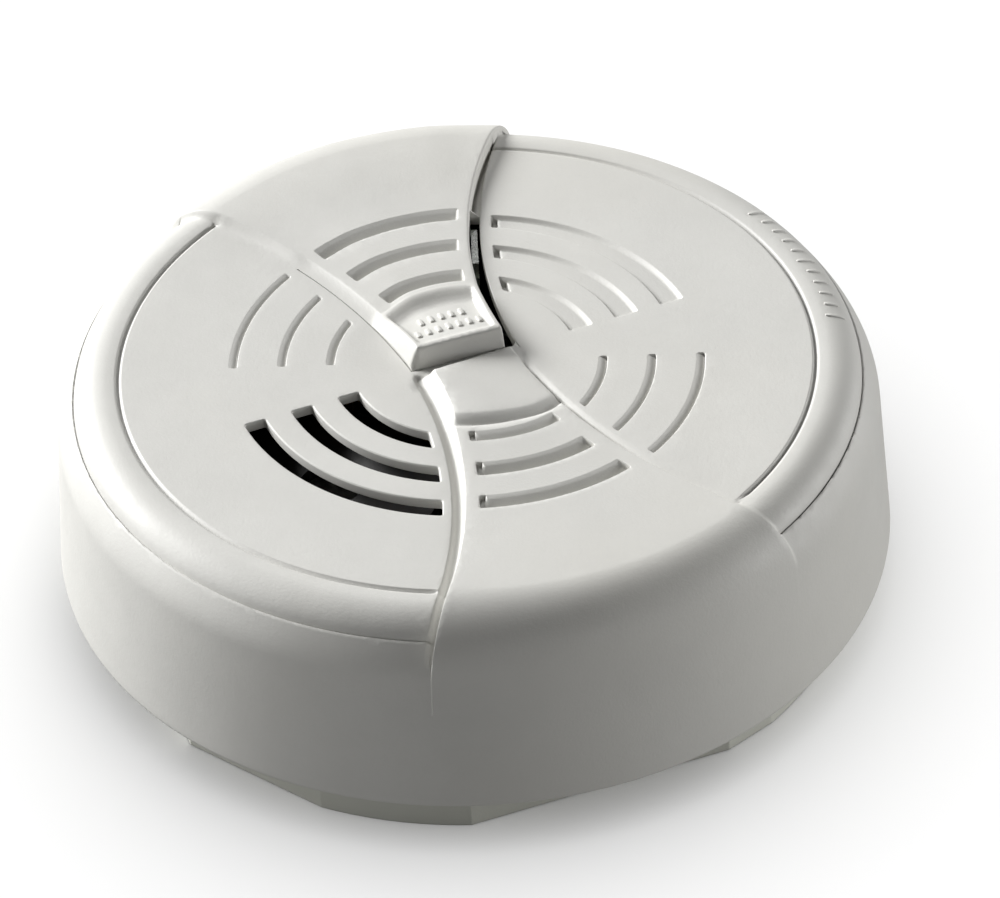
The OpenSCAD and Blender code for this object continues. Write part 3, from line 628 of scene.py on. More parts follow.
def edge_lines():
    back_w = at(BACK_LEFT_W, np.hypot(*BACK_LEFT.T))
    left_w = at(FRONT_LEFT_W, np.hypot(*FRONT_LEFT.T)) - FRONT_LEFT_FOOT
    right_w = at(FRONT_RIGHT_W, np.hypot(*FRONT_RIGHT.T)) - RIGHT_TRIM
    left_t, right_t = (0.0, 0.14, 0.3, 0.5, 0.7, 0.86, 1.0), (0.0, 0.33, 0.66, 1.0)
    yield from along(SLIT_IN, [0.0, 0.07, 0.2, 0.5])
    yield from along(SLIT_IN, [-0.14], inner=40.5, outer=62.0)
    yield from along(SLIT_OUT, [0.0], outer=66.0)
    yield from along(SLIT_OUT, [-0.09, -0.3], outer=64.0)
    yield from along(SLIT_OUT, [0.14], inner=40.5, outer=61.0)
    yield from along(BACK_LEFT, [0.0])
    yield from along(BACK_LEFT, [-GAP_W], outer=GAP_END)
    yield from along(BACK_LEFT, [-t * back_w for t in (0.3, 0.55, 0.78, 0.9, 1.0)])
    yield from along(FRONT_LEFT, [-0.6, -0.35, 0.0, 0.45], outer=79.0)
    yield from along(FRONT_LEFT, [FRONT_LEFT_FOOT + t * left_w for t in left_t])
    yield from along(FRONT_RIGHT, [1.35, 0.95, 0.5, 0.15], inner=9.0, outer=60.0)
    yield from along(FRONT_RIGHT, [-0.05])
    yield from along(FRONT_RIGHT, [-(RIGHT_FOOT + t * right_w) for t in right_t])
    yield from along(SLIT_OUT, [-3.0, -3.25], inner=19.5, outer=41.2)
    yield from along(FRONT_LEFT, [5.15, 5.35], inner=19.0, outer=41.2)


def pad_lines():
    """Lines along the push pad's front, the crest opposite and round both pads."""
    for d in (0.0, PAD_GAP, 0.4, 0.75, 0.9, 1.05, 1.3, 2.0, 2.45, 2.9):
        foot = PAD_L + PAD_BACK * d
        line = resample(np.array([foot - PAD_ALONG * 6, foot + PAD_ALONG * 26]), 0.7)
        right = sdist(SLIT_OUT if d < 0.3 else SLIT_IN, line)
        for run in clip_run(line, (right > -0.05) & (sdist(BACK_LEFT, line) < 0.05))[:1]:
            # reach past the fan edges
            yield np.concatenate([[run[0] - PAD_ALONG * 0.5], run,
                                  [run[-1] + PAD_ALONG * 0.5]]), False
    for d in (-1.7, -1.1, -0.5, 0.1):
        foot = CREST_L - CREST_BACK * d
        line = resample(np.array([foot - CREST_ALONG * 6, foot + CREST_ALONG * 24]), 0.7)
        keep = (sdist(FRONT_LEFT, line) > -0.3) & (sdist(FRONT_RIGHT, line) < 0.3)
        for run in clip_run(line, keep):
            yield run, False
    a0 = math.atan2(-PAD_BACK[1], -PAD_BACK[0])
    yield CORNER + polar(CORNER_R, a0 + np.linspace(-0.1, 1.75, 12)), False
    for rho in (14.9, 15.9, 16.8, 17.6, 18.2, 18.6, 18.8, PAD_R):
        yield curve_between(rho, SLIT_IN, BACK_LEFT, 0.7), False
    yield from along(SLIT_IN, (0.8, 0.95, 1.2, 1.5, 1.8), 0.7, outer=PAD_R)
    back_w = at(BACK_LEFT_W, np.hypot(*BACK_LEFT.T))
    yield from along(BACK_LEFT, [-(back_w + d) for d in (0.35, 0.5, 0.75, 1.05, 1.4)], 0.7,
                     inner=8.0, outer=PAD_R)
    for rho in (SLOPE_R, 16.9, 17.6, 18.3, STEP_R, 19.25):
        line = curve_between(rho, FRONT_LEFT, FRONT_RIGHT, 0.8)
        shift = pad_shift(np.arctan2(line[:, 1], line[:, 0]))
        line = line * (1 + shift / rho)[:, None]
        yield line[sdist(FRONT_RIGHT, line) < 0.0], False


def lever_end_lines():
    """The seam and the outer ends of the slit and the gap."""
    yield curve_between(SEAM, SLIT_IN, BACK_LEFT, 0.8), False
    for r, ends in ((SLIT_END, ((SLIT_OUT, 0.0), (SLIT_IN, 0.0))),
                    (GAP_END, ((BACK_LEFT, 0.0), (BACK_LEFT, -GAP_W)))):
        yield polar(r, np.array([edge_angle(edge, d, r) for edge, d in ends])), False


def ring_lines():
    """The groove ring and the shoulder's fine groove, across the right and the left sector."""
    rings = (((59.3, 59.6, RING, 60.4, 60.8), ((-43.6, 84.0), (136.0, 264.6))),
             ([RHO_G + d for d in FINE_GROOVE[0]], ((-42.0, 82.6), (133.8, 263.0))))
    for rhos, sectors in rings:
        for rho in rhos:
            for a0, a1 in sectors:
                yield arc_pts(rho, math.radians(a0), math.radians(a1), 1.1), False


def wall_lines():
    """Closed rings for the lower edge's rounding and the snap groove."""
    rings = [RHO_E, RHO_E - 0.35, RHO_E - 0.8]
    for z in SNAP_Z:
        t = (z - ZR - WALL_IN) / (Z_EDGE - ZR - WALL_IN)
        rho = RHO_W + t * (RHO_E - RHO_W)
        rings += [rho - 0.06, rho + 0.06]
    for rho in rings:
        yield arc_pts(rho, 0, TURN, 2.6)[:-1], True


def constraints():
    """Every line the triangulation has to follow: list of (points, closed)."""
    slots = [(slot_outline(slot, grow), True) for slot in SLOTS
             for grow in SLOT_LINES[slot["kind"]]]
    return [*edge_lines(), *pad_lines(), *lever_end_lines(), *ring_lines(), *slots,
            (WINDOW, True), *wall_lines()]


# ---------------------------------------------------------------- one triangulation
# Staggered rings of free points: first rho, end, ring spacing, point spacing.
LATTICE_RINGS = ((1.0, 58.6, 1.7, 1.9), (61.1, RHO_W + 0.5, 0.85, 1.5),
                 (RHO_W + 1.6, RHO_E - 1.2, 2.1, 2.5))
NEIGHBOURS = [(a, b) for a in (-1, 0, 1) for b in (-1, 0, 1)]


def lattice():
    """Free points between the lines."""
    pts = []
    for first, end, spacing, step in LATTICE_RINGS:
        for rho in np.arange(first, end, spacing):
            n = max(6, int(2 * math.pi * rho / step))
            pts.append(polar(rho, (np.arange(n) + 0.5 * (len(pts) % 2)) * 2 * math.pi / n))
    # a fine grid on the push pad
    g = 0.62
    ys = np.arange(-4, 20, g * 0.87)
    x, y = np.meshgrid(np.arange(-19, 8, g), ys)
    x = x + (np.arange(len(ys)) % 2)[:, None] * g / 2
    q = np.stack([x.ravel(), y.ravel()], 1)
    pts.append(q[(sdist(SLIT_IN, q) > 0.3) & (-sdist(BACK_LEFT, q) > 0.4)
                 & (np.hypot(*q.T) < 19.2) & ((q - PAD_L) @ PAD_BACK > 1.0)])
    # finer rows beside the fan edges on the shoulder and wall
    for edge in (SLIT_IN, BACK_LEFT, FRONT_LEFT, FRONT_RIGHT):
        tail = edge[np.hypot(*edge.T) > 58]
        for d in (-2.2, -1.4, -0.7, 2.3, 3.0, 3.8):
            pts.append(resample(offset(tail, d), 1.0))
    # the dimple
    x, y = np.meshgrid(np.arange(-10.5, -5.0, 0.4), np.arange(-9.5, -3.0, 0.4))
    pts.append(np.stack([x.ravel(), y.ravel()], 1))
    return np.concatenate(pts)


def clear_of_lines(pts, lines, cell=0.3):
    """True for points with no line in their cell or the cells round it."""
    dense = []
    for line, closed in lines:
        q = np.concatenate([line, line[:1]]) if closed else line
        lengths = np.hypot(*np.diff(q, axis=0).T)
        for a, b, length in zip(q[:-1], q[1:], lengths):
            k = max(1, int(length / 0.2))
            t = np.arange(k)[:, None] / k
            dense.append(a * (1 - t) + b * t)
    cells = set(map(tuple, np.floor(np.concatenate(dense) / cell).astype(int)))
    taken = {(i + a, j + b) for i, j in cells for a, b in NEIGHBOURS}
    return np.array([c not in taken for c in map(tuple, np.floor(pts / cell).astype(int))])


def thin_out(pts, cell=0.5, min_square=0.2):
    """Drops points too close to an earlier one; min_square is a squared distance."""
    seen, keep = {}, []
    for idx, (x, y) in enumerate(pts):
        i, j = math.floor(x / cell), math.floor(y / cell)
        if any((pts[o][0] - x) ** 2 + (pts[o][1] - y) ** 2 < min_square
               for a, b in NEIGHBOURS for o in seen.get((i + a, j + b), ())):
            continue
        seen.setdefault((i, j), []).append(idx)
        keep.append(idx)
    return pts[keep]


def triangulate():
    """Points and counter-clockwise triangles of the developed plane."""
    lines = constraints()
    edges = []
    n = 0
    for line, closed in lines:
        m = len(line)
        edges += [(n + i, n + i + 1) for i in range(m - 1)]
        if closed:
            edges.append((n + m - 1, n))
        n += m
    free = lattice()
    free = free[clear_of_lines(free, lines) & (np.hypot(*free.T) < RHO_E - 1.0)]
    pts = np.concatenate([line for line, _ in lines] + [thin_out(free)])
    out = delaunay_2d_cdt([Vector(v) for v in pts], edges, [], 0, 1e-5, False)
    pts = np.array([tuple(v) for v in out[0]])
    tris = np.array([tuple(f) for f in out[2]], int)
    a, b, c = (pts[tris[:, i]] for i in range(3))
    area = np.cross(b - a, c - a)
    tris[area < 0] = tris[area < 0][:, ::-1]
    return pts, tris[np.abs(area) > 1e-9]


HOLE, HOUSING, LEVER = range(3)


def classify(pts, tris):
    """HOLE, HOUSING or LEVER for each triangle."""
    p = locate(pts[tris].mean(1))
    kind = np.full(len(tris), HOUSING)
    for loop in [slot["loop"] for slot in SLOTS if slot["kind"] == "through"] + [WINDOW]:
        kind[inside_loop(loop, p.pts)] = HOLE
    fan = (p.slit_in > 0) & (p.back_left > 0) & (p.pad > 0) & (p.rho < SEAM)
    kind[fan] = LEVER
    kind[fan & (p.pad < PAD_GAP)] = HOLE
    kind[fan & (p.back_left < GAP_W) & (p.rho < GAP_END)] = HOLE
    beside = (p.slit_out > 0) & (p.pad > 0) & (p.y > 0)
    kind[beside & (p.slit_in <= 0) & (p.rho < SLIT_END)] = HOLE
    kind[beside & (kind == HOLE) & (p.rho < 16) & in_corner(p)] = HOUSING
    kind[p.rho > RHO_E] = HOLE
    return kind


# ---------------------------------------------------------------- mesh building
def new_object(name, verts, faces):
    """Smooth-shaded object from millimetre vertices."""
    me = bpy.data.meshes.new(name)
    me.from_pydata((np.array(verts) * MM).tolist(), [], faces)
    me.update()
    me.polygons.foreach_set("use_smooth", np.ones(len(me.polygons), bool))
    ob = bpy.data.objects.new(name, me)
    bpy.context.scene.collection.objects.link(ob)
    return ob


def unit_rows(v):
    length = np.linalg.norm(v, axis=1)
    length[length == 0] = 1
    return v / length[:, None]


def face_vectors(xyz, tri):
    a, b, c = xyz[tri[:, 0]], xyz[tri[:, 1]], xyz[tri[:, 2]]
    return np.cross(b - a, c - a)


def area_normals(xyz, tri):
    """Vertex normals, weighted by face area."""
    f = face_vectors(xyz, tri)
    n = np.zeros((len(xyz), 3))
    for i in range(3):
        np.add.at(n, tri[:, i], f)
    return unit_rows(n)


def solid_sheet(name, tris, outer, inner):
    """Closed mesh from triangles: outer surface, inner surface and walls round every edge."""
    used = np.unique(tris)
    idx = -np.ones(len(outer), int)
    idx[used] = np.arange(len(used))
    t = idx[tris]
    back = t[:, ::-1]
    outer, inner = outer[used], inner[used]
    n = len(used)
    # directed edges without a partner are the border
    edges = set(map(tuple, np.concatenate([t[:, [0, 1]], t[:, [1, 2]], t[:, [2, 0]]])))
    border = np.array([(a, b) for a, b in edges if (b, a) not in edges])
    a, b = border[np.lexsort((border[:, 1], border[:, 0]))].T
    walls = np.concatenate([np.stack([a, a + n, b + n], 1), np.stack([a, b + n, b], 1)])
    xyz = np.concatenate([outer, inner])
    ob = new_object(name, xyz, np.concatenate([t, back + n, walls]).tolist())
    # wall normals: smooth along each border unless it turns sharply
    flat = unit_rows(face_vectors(xyz, walls))[:, None]
    smooth = area_normals(xyz, walls)[walls]
    sharp = (smooth * flat).sum(2) < 0.8
    normals = np.concatenate([area_normals(outer, t)[t], area_normals(inner, back)[back],
                              np.where(sharp[..., None], flat, smooth)])
    ob.data.normals_split_custom_set(normals.reshape(-1, 3).tolist())
    return ob


def ring_faces(start, n):
    """Quads between two rings of n vertices, the first starting at the given index."""
    return [(start + i, start + (i + 1) % n, start + n + (i + 1) % n, start + n + i)
            for i in range(n)]


def lay(pts, height):
    """Points of the developed plane lifted off the outer surface."""
    ex, ey = np.array([0.05, 0]), np.array([0, 0.05])
    n = np.cross(surface(pts + ex) - surface(pts - ex), surface(pts + ey) - surface(pts - ey))
    return surface(pts) + n / np.linalg.norm(n, axis=1)[:, None] * height


def raised_bars(name, places, height, sunk=-0.25, m=20):
    """One mesh of rounded bars. places: (x, y, half length, half width, angle)."""
    t = (np.arange(m) + 0.5) * 2 * math.pi / m
    rings = [(1.0, sunk), (1.0, height * 0.45), (0.93, height * 0.8), (0.78, height)]
    verts, faces = [], []
    for x, y, a, b, rot in places:
        cx, cy = math.cos(rot), math.sin(rot)
        u = np.sign(np.cos(t)) * np.abs(np.cos(t)) ** 0.45 * a
        v = np.sign(np.sin(t)) * np.abs(np.sin(t)) ** 0.45 * b
        base = len(verts)
        for shrink_v, h in rings:
            shrink_u = 1 - (1 - shrink_v) * min(1.0, b / a)
            ring = np.stack([x + u * shrink_u * cx - v * shrink_v * cy,
                             y + u * shrink_u * cy + v * shrink_v * cx], 1)
            verts += lay(ring, h).tolist()
        for r in range(len(rings) - 1):
            faces += ring_faces(base + r * m, m)
        last = base + (len(rings) - 1) * m
        centre = np.array([[x, y]])
        top, bottom = len(verts), len(verts) + 1
        verts += [lay(centre, height)[0].tolist(), lay(centre, sunk)[0].tolist()]
        faces += [(last + i, last + (i + 1) % m, top) for i in range(m)]
        faces += [(base + (i + 1) % m, base + i, bottom) for i in range(m)]
    return new_object(name, verts, faces)


def lathe(name, centre, profile, n=48):
    """Turned mesh from (radius, height) pairs, first and last on the axis."""
    x, y = centre
    verts = [(x, y, profile[0][1])]
    for r, z in profile[1:-1]:
        verts += [(x + r * math.cos(2 * math.pi * i / n), y + r * math.sin(2 * math.pi * i / n), z)
                  for i in range(n)]
    verts.append((x, y, profile[-1][1]))
    rings = len(profile) - 2
    faces = [(0, 1 + (i + 1) % n, 1 + i) for i in range(n)]
    for r in range(rings - 1):
        faces += ring_faces(1 + r * n, n)
    last = 1 + (rings - 1) * n
    faces += [(last + i, last + (i + 1) % n, len(verts) - 1) for i in range(n)]
    return new_object(name, verts, faces)


# ---------------------------------------------------------------- housing and lever
plane, tris = triangulate()
kind = classify(plane, tris)
outer, inner = surface(plane), inner_surface(plane)
cover = solid_sheet("cover", tris[kind == HOUSING], outer, inner)
lever = solid_sheet("lever", tris[kind == LEVER], outer, inner)
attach(cover, "housing")
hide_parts("front_cover")
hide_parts("test_lever")
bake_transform(lever)

# ---------------------------------------------------------------- raised bars and lever post
BAR_ROWS = ((5, 10.3), (7, 6.1))     # number of bars, distance behind the pad's front
BAR_PITCH, BAR_MIDDLE = 1.85, 9.0
MARK_R, MARK_START, MARK_PITCH = 64.3, 6.5, 2.9      # rho, degrees, degrees
POST = [(0, 36.85), (1.15, 36.85), (1.4, 36.95), (1.5, 37.2), (1.5, 39.6), (1.75, 40.3),
        (2.6, 43.2), (3.1, 44.3), (3.3, 45.05), (0, 45.05)]      # radius, height


def pocket_bars():
    """Two rows of grip bars in the finger pocket, along the push pad's front."""
    places = []
    for n, behind in BAR_ROWS:
        for i in range(n):
            sideways = BAR_MIDDLE + (i - (n - 1) / 2) * BAR_PITCH
            x, y = PAD_L + PAD_ALONG * sideways + PAD_BACK * behind
            places.append((x, y, 1.15, 0.42, math.atan2(PAD_BACK[1], PAD_BACK[0])))
    return raised_bars("pocket_bars", places, height=0.32)


def rim_marks():
    """A scale of raised marks on the right rim, every fifth one longer."""
    places = []
    for i in range(11):
        a = math.radians(MARK_START + MARK_PITCH * i)
        places.append((MARK_R * math.cos(a), MARK_R * math.sin(a), 1.25 if i % 5 else 1.7, 0.36, a))
    return raised_bars("rim_marks", places, height=0.2)


bars = pocket_bars()
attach(bars, "test_lever")
marks = rim_marks()
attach(marks, "housing")
post = lathe("lever_post", (-2.5, 7.0), POST)
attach(post, "test_lever")


# ---------------------------------------------------------------- materials
class Shader:
    """A material's node tree; every pattern lies in object space."""

    def __init__(self, name):
        self.material = bpy.data.materials.new(name)
        self.material.use_nodes = True
        self.tree = self.material.node_tree
        self.space = self.node("ShaderNodeTexCoord").outputs["Object"]

    def node(self, kind, **inputs):
        """A new node. Inputs are sockets to link or values to set."""
        n = self.tree.nodes.new(kind)
        for key, value in inputs.items():
            self.feed(n.inputs[key], value)
        return n

    def feed(self, socket, value):
        if isinstance(value, bpy.types.NodeSocket):
            self.tree.links.new(value, socket)
        else:
            socket.default_value = value

    def place(self, stretch):
        if stretch is None:
            return self.space
        return self.node("ShaderNodeMapping", Scale=stretch, Vector=self.space).outputs["Vector"]

    def noise(self, scale, detail=4.0, rough=0.55, stretch=None):
        return self.node("ShaderNodeTexNoise", Scale=scale, Detail=detail, Roughness=rough,
                         Vector=self.place(stretch)).outputs[0]

    def cells(self, scale, stretch=None, out="Distance"):
        return self.node("ShaderNodeTexVoronoi", Scale=scale,
                         Vector=self.place(stretch)).outputs[out]

    def ramp(self, fac, stops):
        n = self.node("ShaderNodeValToRGB", Fac=fac)
        elements = n.color_ramp.elements
        while len(elements) < len(stops):
            elements.new(0.5)
        for element, (position, colour) in zip(elements, stops):
            element.position = position
            element.color = (*colour, 1)
        return n.outputs[0]

    def span(self, fac, to=(0, 1), over=(0, 1)):
        """Maps the range over onto the range to."""
        n = self.node("ShaderNodeMapRange")
        for i, value in enumerate((fac, *over, *to)):
            self.feed(n.inputs[i], value)
        return n.outputs[0]

    def math(self, operation, a, b):
        n = self.node("ShaderNodeMath")
        n.operation = operation
        self.feed(n.inputs[0], a)
        self.feed(n.inputs[1], b)
        return n.outputs[0]

    def mix(self, fac, a, b):
        n = self.node("ShaderNodeMix")
        n.data_type = "RGBA"
        for i, value in ((0, fac), (6, a), (7, b)):
            self.feed(n.inputs[i], (*value, 1) if isinstance(value, tuple) else value)
        return n.outputs[2]

    def tint(self, under, colour, pattern, amount=1, over=(0, 1)):
        """Colour laid on where the pattern runs through the range over."""
        return self.mix(self.span(pattern, to=(0, amount), over=over), under, colour)

    def bump(self, height, distance, strength=0.5, under=None):
        n = self.node("ShaderNodeBump", Distance=distance, Strength=strength, Height=height)
        if under is not None:
            self.feed(n.inputs["Normal"], under)
        return n.outputs["Normal"]

    def done(self, colour, rough, normal, **inputs):
        """Feeds the main shader; underscores in input names stand for spaces."""
        main = self.tree.nodes["Principled BSDF"]
        inputs.update(Base_Color=colour, Roughness=rough, Normal=normal)
        for key, value in inputs.items():
            self.feed(main.inputs[key.replace("_", " ")], value)
        return self.material


def tone(colour, by):
    return tuple(min(1.0, v * by) for v in colour)


def moulded(name, base, rough, depth=0.00003, vary=0.03, wear=0.04, corner=0.0):
    """Moulded plastic: eroded grain, faint flow clouds, handled edges, hairline scratches.

    depth is the grain's, vary the clouds' contrast, corner the radius that breaks corners.
    """
    n = Shader(name)
    grain = 2300
    warm = tuple(b * w for b, w in zip(base, (1.0, 0.985, 0.95)))
    clouds = n.span(n.noise(scale=38, detail=5, rough=0.6), over=(0.35, 0.65))
    c = n.mix(clouds, tone(base, by=1 - vary), tone(base, by=1 + vary))
    c = n.tint(c, warm, n.noise(scale=11, detail=3), amount=0.55, over=(0.45, 0.75))
    flecks = n.noise(scale=1500, detail=3, rough=0.7)
    c = n.tint(c, tone(base, by=0.86), flecks, amount=0.10, over=(0.45, 0.75))
    # 0 on flat areas, 1 on outward edges
    edges = n.span(n.node("ShaderNodeNewGeometry").outputs["Pointiness"], over=(0.505, 0.56))
    c = n.tint(c, tone(base, by=1.06), edges, amount=wear * 4)
    scratches = n.span(n.noise(scale=420, detail=2, rough=0.4, stretch=(1, 14, 6)),
                       over=(0.66, 0.72))
    r = n.span(n.noise(scale=260), to=(rough - 0.06, rough + 0.07), over=(0.3, 0.7))
    r = n.math("SUBTRACT", r, n.math("MULTIPLY", scratches, 0.08))
    normal = None
    if corner:
        bevel = n.node("ShaderNodeBevel", Radius=corner)
        bevel.samples = 4
        normal = bevel.outputs[0]
    normal = n.bump(n.noise(scale=52, detail=2), distance=0.00035, strength=0.35, under=normal)
    normal = n.bump(n.noise(scale=grain, detail=2, rough=0.6), distance=depth, strength=0.8,
                    under=normal)
    normal = n.bump(n.cells(scale=grain * 0.55), distance=depth * 0.6, under=normal)
    normal = n.bump(scratches, distance=0.000008, strength=0.4, under=normal)
    return n.done(c, r, normal, Specular_IOR_Level=0.45, IOR=1.5)


def metal(name, base, rough, spangle=False, tarnish=0.15, patina=None):
    """Bare metal, brushed along X or with zinc spangles."""
    n = Shader(name)
    patina = patina or tone(base, by=0.6)
    c = n.tint(base, patina, n.noise(scale=160, detail=5, rough=0.65), amount=tarnish,
               over=(0.42, 0.75))
    if spangle:
        c = n.tint(c, tone(base, by=0.72), n.cells(scale=420, out="Color"), amount=0.22)
        normal = n.bump(n.noise(scale=900, detail=3), distance=0.00001)
    else:
        lines = n.noise(scale=700, detail=3, rough=0.5, stretch=(1, 24, 24))
        c = n.tint(c, tone(base, by=0.8), lines, amount=0.16, over=(0.4, 0.7))
        normal = n.bump(lines, distance=0.000012)
    r = n.span(n.noise(scale=480), to=(rough - 0.05, rough + 0.12), over=(0.3, 0.75))
    normal = n.bump(n.noise(scale=1900, detail=2), distance=0.000006, under=normal)
    return n.done(c, r, normal, Metallic=1.0)


def dipped(name, base, rough, lump=500, coat=0.3):
    """Resin or enamel that ran before it set; lump is the scale of its unevenness."""
    n = Shader(name)
    c = n.mix(n.span(n.noise(scale=700), over=(0.3, 0.7)), tone(base, by=0.82),
              tone(base, by=1.15))
    c = n.tint(c, tone(base, by=0.6), n.noise(scale=4200, detail=2), amount=0.25,
               over=(0.55, 0.75))
    r = n.span(n.noise(scale=900, detail=3), to=(rough - 0.05, rough + 0.1), over=(0.3, 0.7))
    normal = n.bump(n.noise(scale=lump, detail=2), distance=0.00008, strength=0.6)
    normal = n.bump(n.noise(scale=3200, detail=2), distance=0.000006, strength=0.6, under=normal)
    return n.done(c, r, normal, Coat_Weight=coat, Coat_Roughness=0.12)


def clear(name, tint, rough, trans=0.9):
    """Transparent plastic."""
    n = Shader(name)
    c = n.mix(n.span(n.noise(scale=300), over=(0.3, 0.7)), tone(tint, by=0.93),
              tone(tint, by=1.04))
    r = n.span(n.noise(scale=1400, detail=3), to=(rough, rough + 0.14), over=(0.4, 0.7))
    normal = n.bump(n.noise(scale=650, detail=2), distance=0.00003)
    normal = n.bump(n.noise(scale=3600, detail=2), distance=0.000004, under=normal)
    return n.done(c, r, normal, Transmission_Weight=trans, IOR=1.49)


def laminate(name):
    """Paper laminate with its fibres, and the shadow of the tracks on its other side."""
    n = Shader(name)
    fibres = n.noise(scale=900, detail=5, rough=0.7, stretch=(1, 9, 1))
    c = n.mix(n.span(fibres, over=(0.3, 0.7)), (0.235, 0.125, 0.042), (0.36, 0.215, 0.085))
    tracks = n.span(n.cells(scale=190, stretch=(1, 0.45, 1)), over=(0.42, 0.5))
    c = n.mix(n.math("MULTIPLY", tracks, 0.28), c, (0.15, 0.085, 0.03))
    r = n.span(n.noise(scale=700, detail=3), to=(0.32, 0.5), over=(0.3, 0.7))
    normal = n.bump(fibres, distance=0.00002)
    normal = n.bump(tracks, distance=0.00002, strength=0.4, under=normal)
    return n.done(c, r, normal, Coat_Weight=0.15)


def banded(name, base):
    """Lacquered bodies with their colour code rings."""
    n = Shader(name)
    red, dark = (0.32, 0.07, 0.03), (0.05, 0.03, 0.02)
    wave = n.node("ShaderNodeTexWave", Scale=150, Vector=n.space)
    wave.bands_direction = "X"
    c = n.ramp(wave.outputs[1], [(0.0, red), (0.16, red), (0.2, base), (0.82, base),
                                 (0.86, dark), (1.0, dark)])
    c = n.tint(c, tone(base, by=0.8), n.noise(scale=900), amount=0.3, over=(0.4, 0.7))
    r = n.span(n.noise(scale=1200, detail=3), to=(0.22, 0.38), over=(0.3, 0.7))
    normal = n.bump(n.noise(scale=800, detail=2), distance=0.00004)
    return n.done(c, r, normal, Coat_Weight=0.3)


def jacket(name):
    """Dark lacquered steel jacket with a plain lighter band across X, and shelf scuffs."""
    n = Shader(name)
    c = n.mix(n.span(n.noise(scale=120, detail=5), over=(0.3, 0.7)), (0.018, 0.019, 0.024),
              (0.034, 0.035, 0.042))
    x = n.node("ShaderNodeSeparateXYZ", Vector=n.space).outputs[0]
    band = n.math("MULTIPLY", n.span(x, over=(0.0060, 0.0064)),
                  n.span(x, to=(1, 0), over=(0.0150, 0.0154)))
    c = n.mix(band, c, (0.33, 0.33, 0.34))
    scuffs = n.span(n.noise(scale=600, detail=5, rough=0.75, stretch=(1, 5, 5)),
                    over=(0.62, 0.72))
    c = n.mix(n.math("MULTIPLY", scuffs, 0.35), c, (0.24, 0.24, 0.24))
    r = n.span(n.noise(scale=800, detail=3), to=(0.24, 0.42), over=(0.3, 0.7))
    normal = n.bump(scuffs, distance=0.00001)
    normal = n.bump(n.noise(scale=60, detail=2), distance=0.0001, strength=0.3, under=normal)
    return n.done(c, r, normal, Metallic=0.35, Coat_Weight=0.4, Coat_Roughness=0.15)


SHELL = (0.62, 0.615, 0.585)
LOOKS = {
    "housing_plastic": (moulded, dict(base=SHELL, rough=0.5)),
    "bracket_plastic": (moulded, dict(base=(0.60, 0.605, 0.545), rough=0.55, vary=0.04,
                                      depth=0.00004, corner=0.0004)),
    "board_laminate": (laminate, {}),
    "steel_zinc": (metal, dict(base=(0.62, 0.63, 0.63), rough=0.26, patina=(0.42, 0.42, 0.38))),
    "shield_steel": (metal, dict(base=(0.58, 0.58, 0.57), rough=0.34, spangle=True)),
    "insulator_plastic": (moulded, dict(base=(0.72, 0.70, 0.62), rough=0.42, depth=0.00002)),
    "black_plastic": (moulded, dict(base=(0.022, 0.02, 0.019), rough=0.4, vary=0.18, wear=0.02)),
    "brass": (metal, dict(base=(0.74, 0.52, 0.22), rough=0.24, patina=(0.36, 0.22, 0.09),
                          tarnish=0.4)),
    "piezo_white": (dipped, dict(base=(0.66, 0.645, 0.60), rough=0.36, coat=0.0)),
    "spring_metal": (metal, dict(base=(0.70, 0.67, 0.60), rough=0.2)),
    "lens_green": (clear, dict(tint=(0.12, 0.55, 0.16), rough=0.06)),
    "lens_red": (clear, dict(tint=(0.66, 0.05, 0.04), rough=0.06)),
    "clear_acrylic": (clear, dict(tint=(0.84, 0.90, 0.80), rough=0.1, trans=0.75)),
    "capacitor_sleeve": (dipped, dict(base=(0.018, 0.03, 0.10), rough=0.28, lump=220, coat=0.4)),
    "film_resin": (dipped, dict(base=(0.30, 0.035, 0.02), rough=0.2)),
    "ceramic_orange": (dipped, dict(base=(0.52, 0.20, 0.04), rough=0.42, coat=0.1)),
    "resistor_coat": (banded, dict(base=(0.50, 0.35, 0.17))),
    "varistor_coat": (dipped, dict(base=(0.025, 0.09, 0.26), rough=0.4, coat=0.15)),
    "battery_jacket": (jacket, {}),
    "nickel": (metal, dict(base=(0.66, 0.64, 0.58), rough=0.16)),
}
FINISH = {name: make(name, **look) for name, (make, look) in LOOKS.items()}
# the CAD pieces have sharp corners, so their housing plastic breaks them
CAD_FINISH = {**FINISH, "housing_plastic": moulded("housing_plastic_parts", base=SHELL, rough=0.5,
                                                   corner=0.00035)}
for part in frame["record"]["subparts"]:
    ob = frame["nodes"].get(part["node"])
    if ob is not None:
        ob.data.materials.clear()
        ob.data.materials.append(CAD_FINISH[part["material_slot"]])
for ob in (cover, lever, bars, marks, post):
    ob.data.materials.append(FINISH["housing_plastic"])

# ---------------------------------------------------------------- camera, lights and floor
CAMERA_ELEVATION, CAMERA_DISTANCE = 39.2177, 1040.0      # from the front, about the ring's centre
# The camera's own axes in the world: right, up, backwards.
CAMERA_AXES = [[0.99852949, -0.03840061, -0.03826544],
               [0.054001, 0.64247533, 0.76440129],
               [-0.00476887, -0.76534361, 0.64360424]]
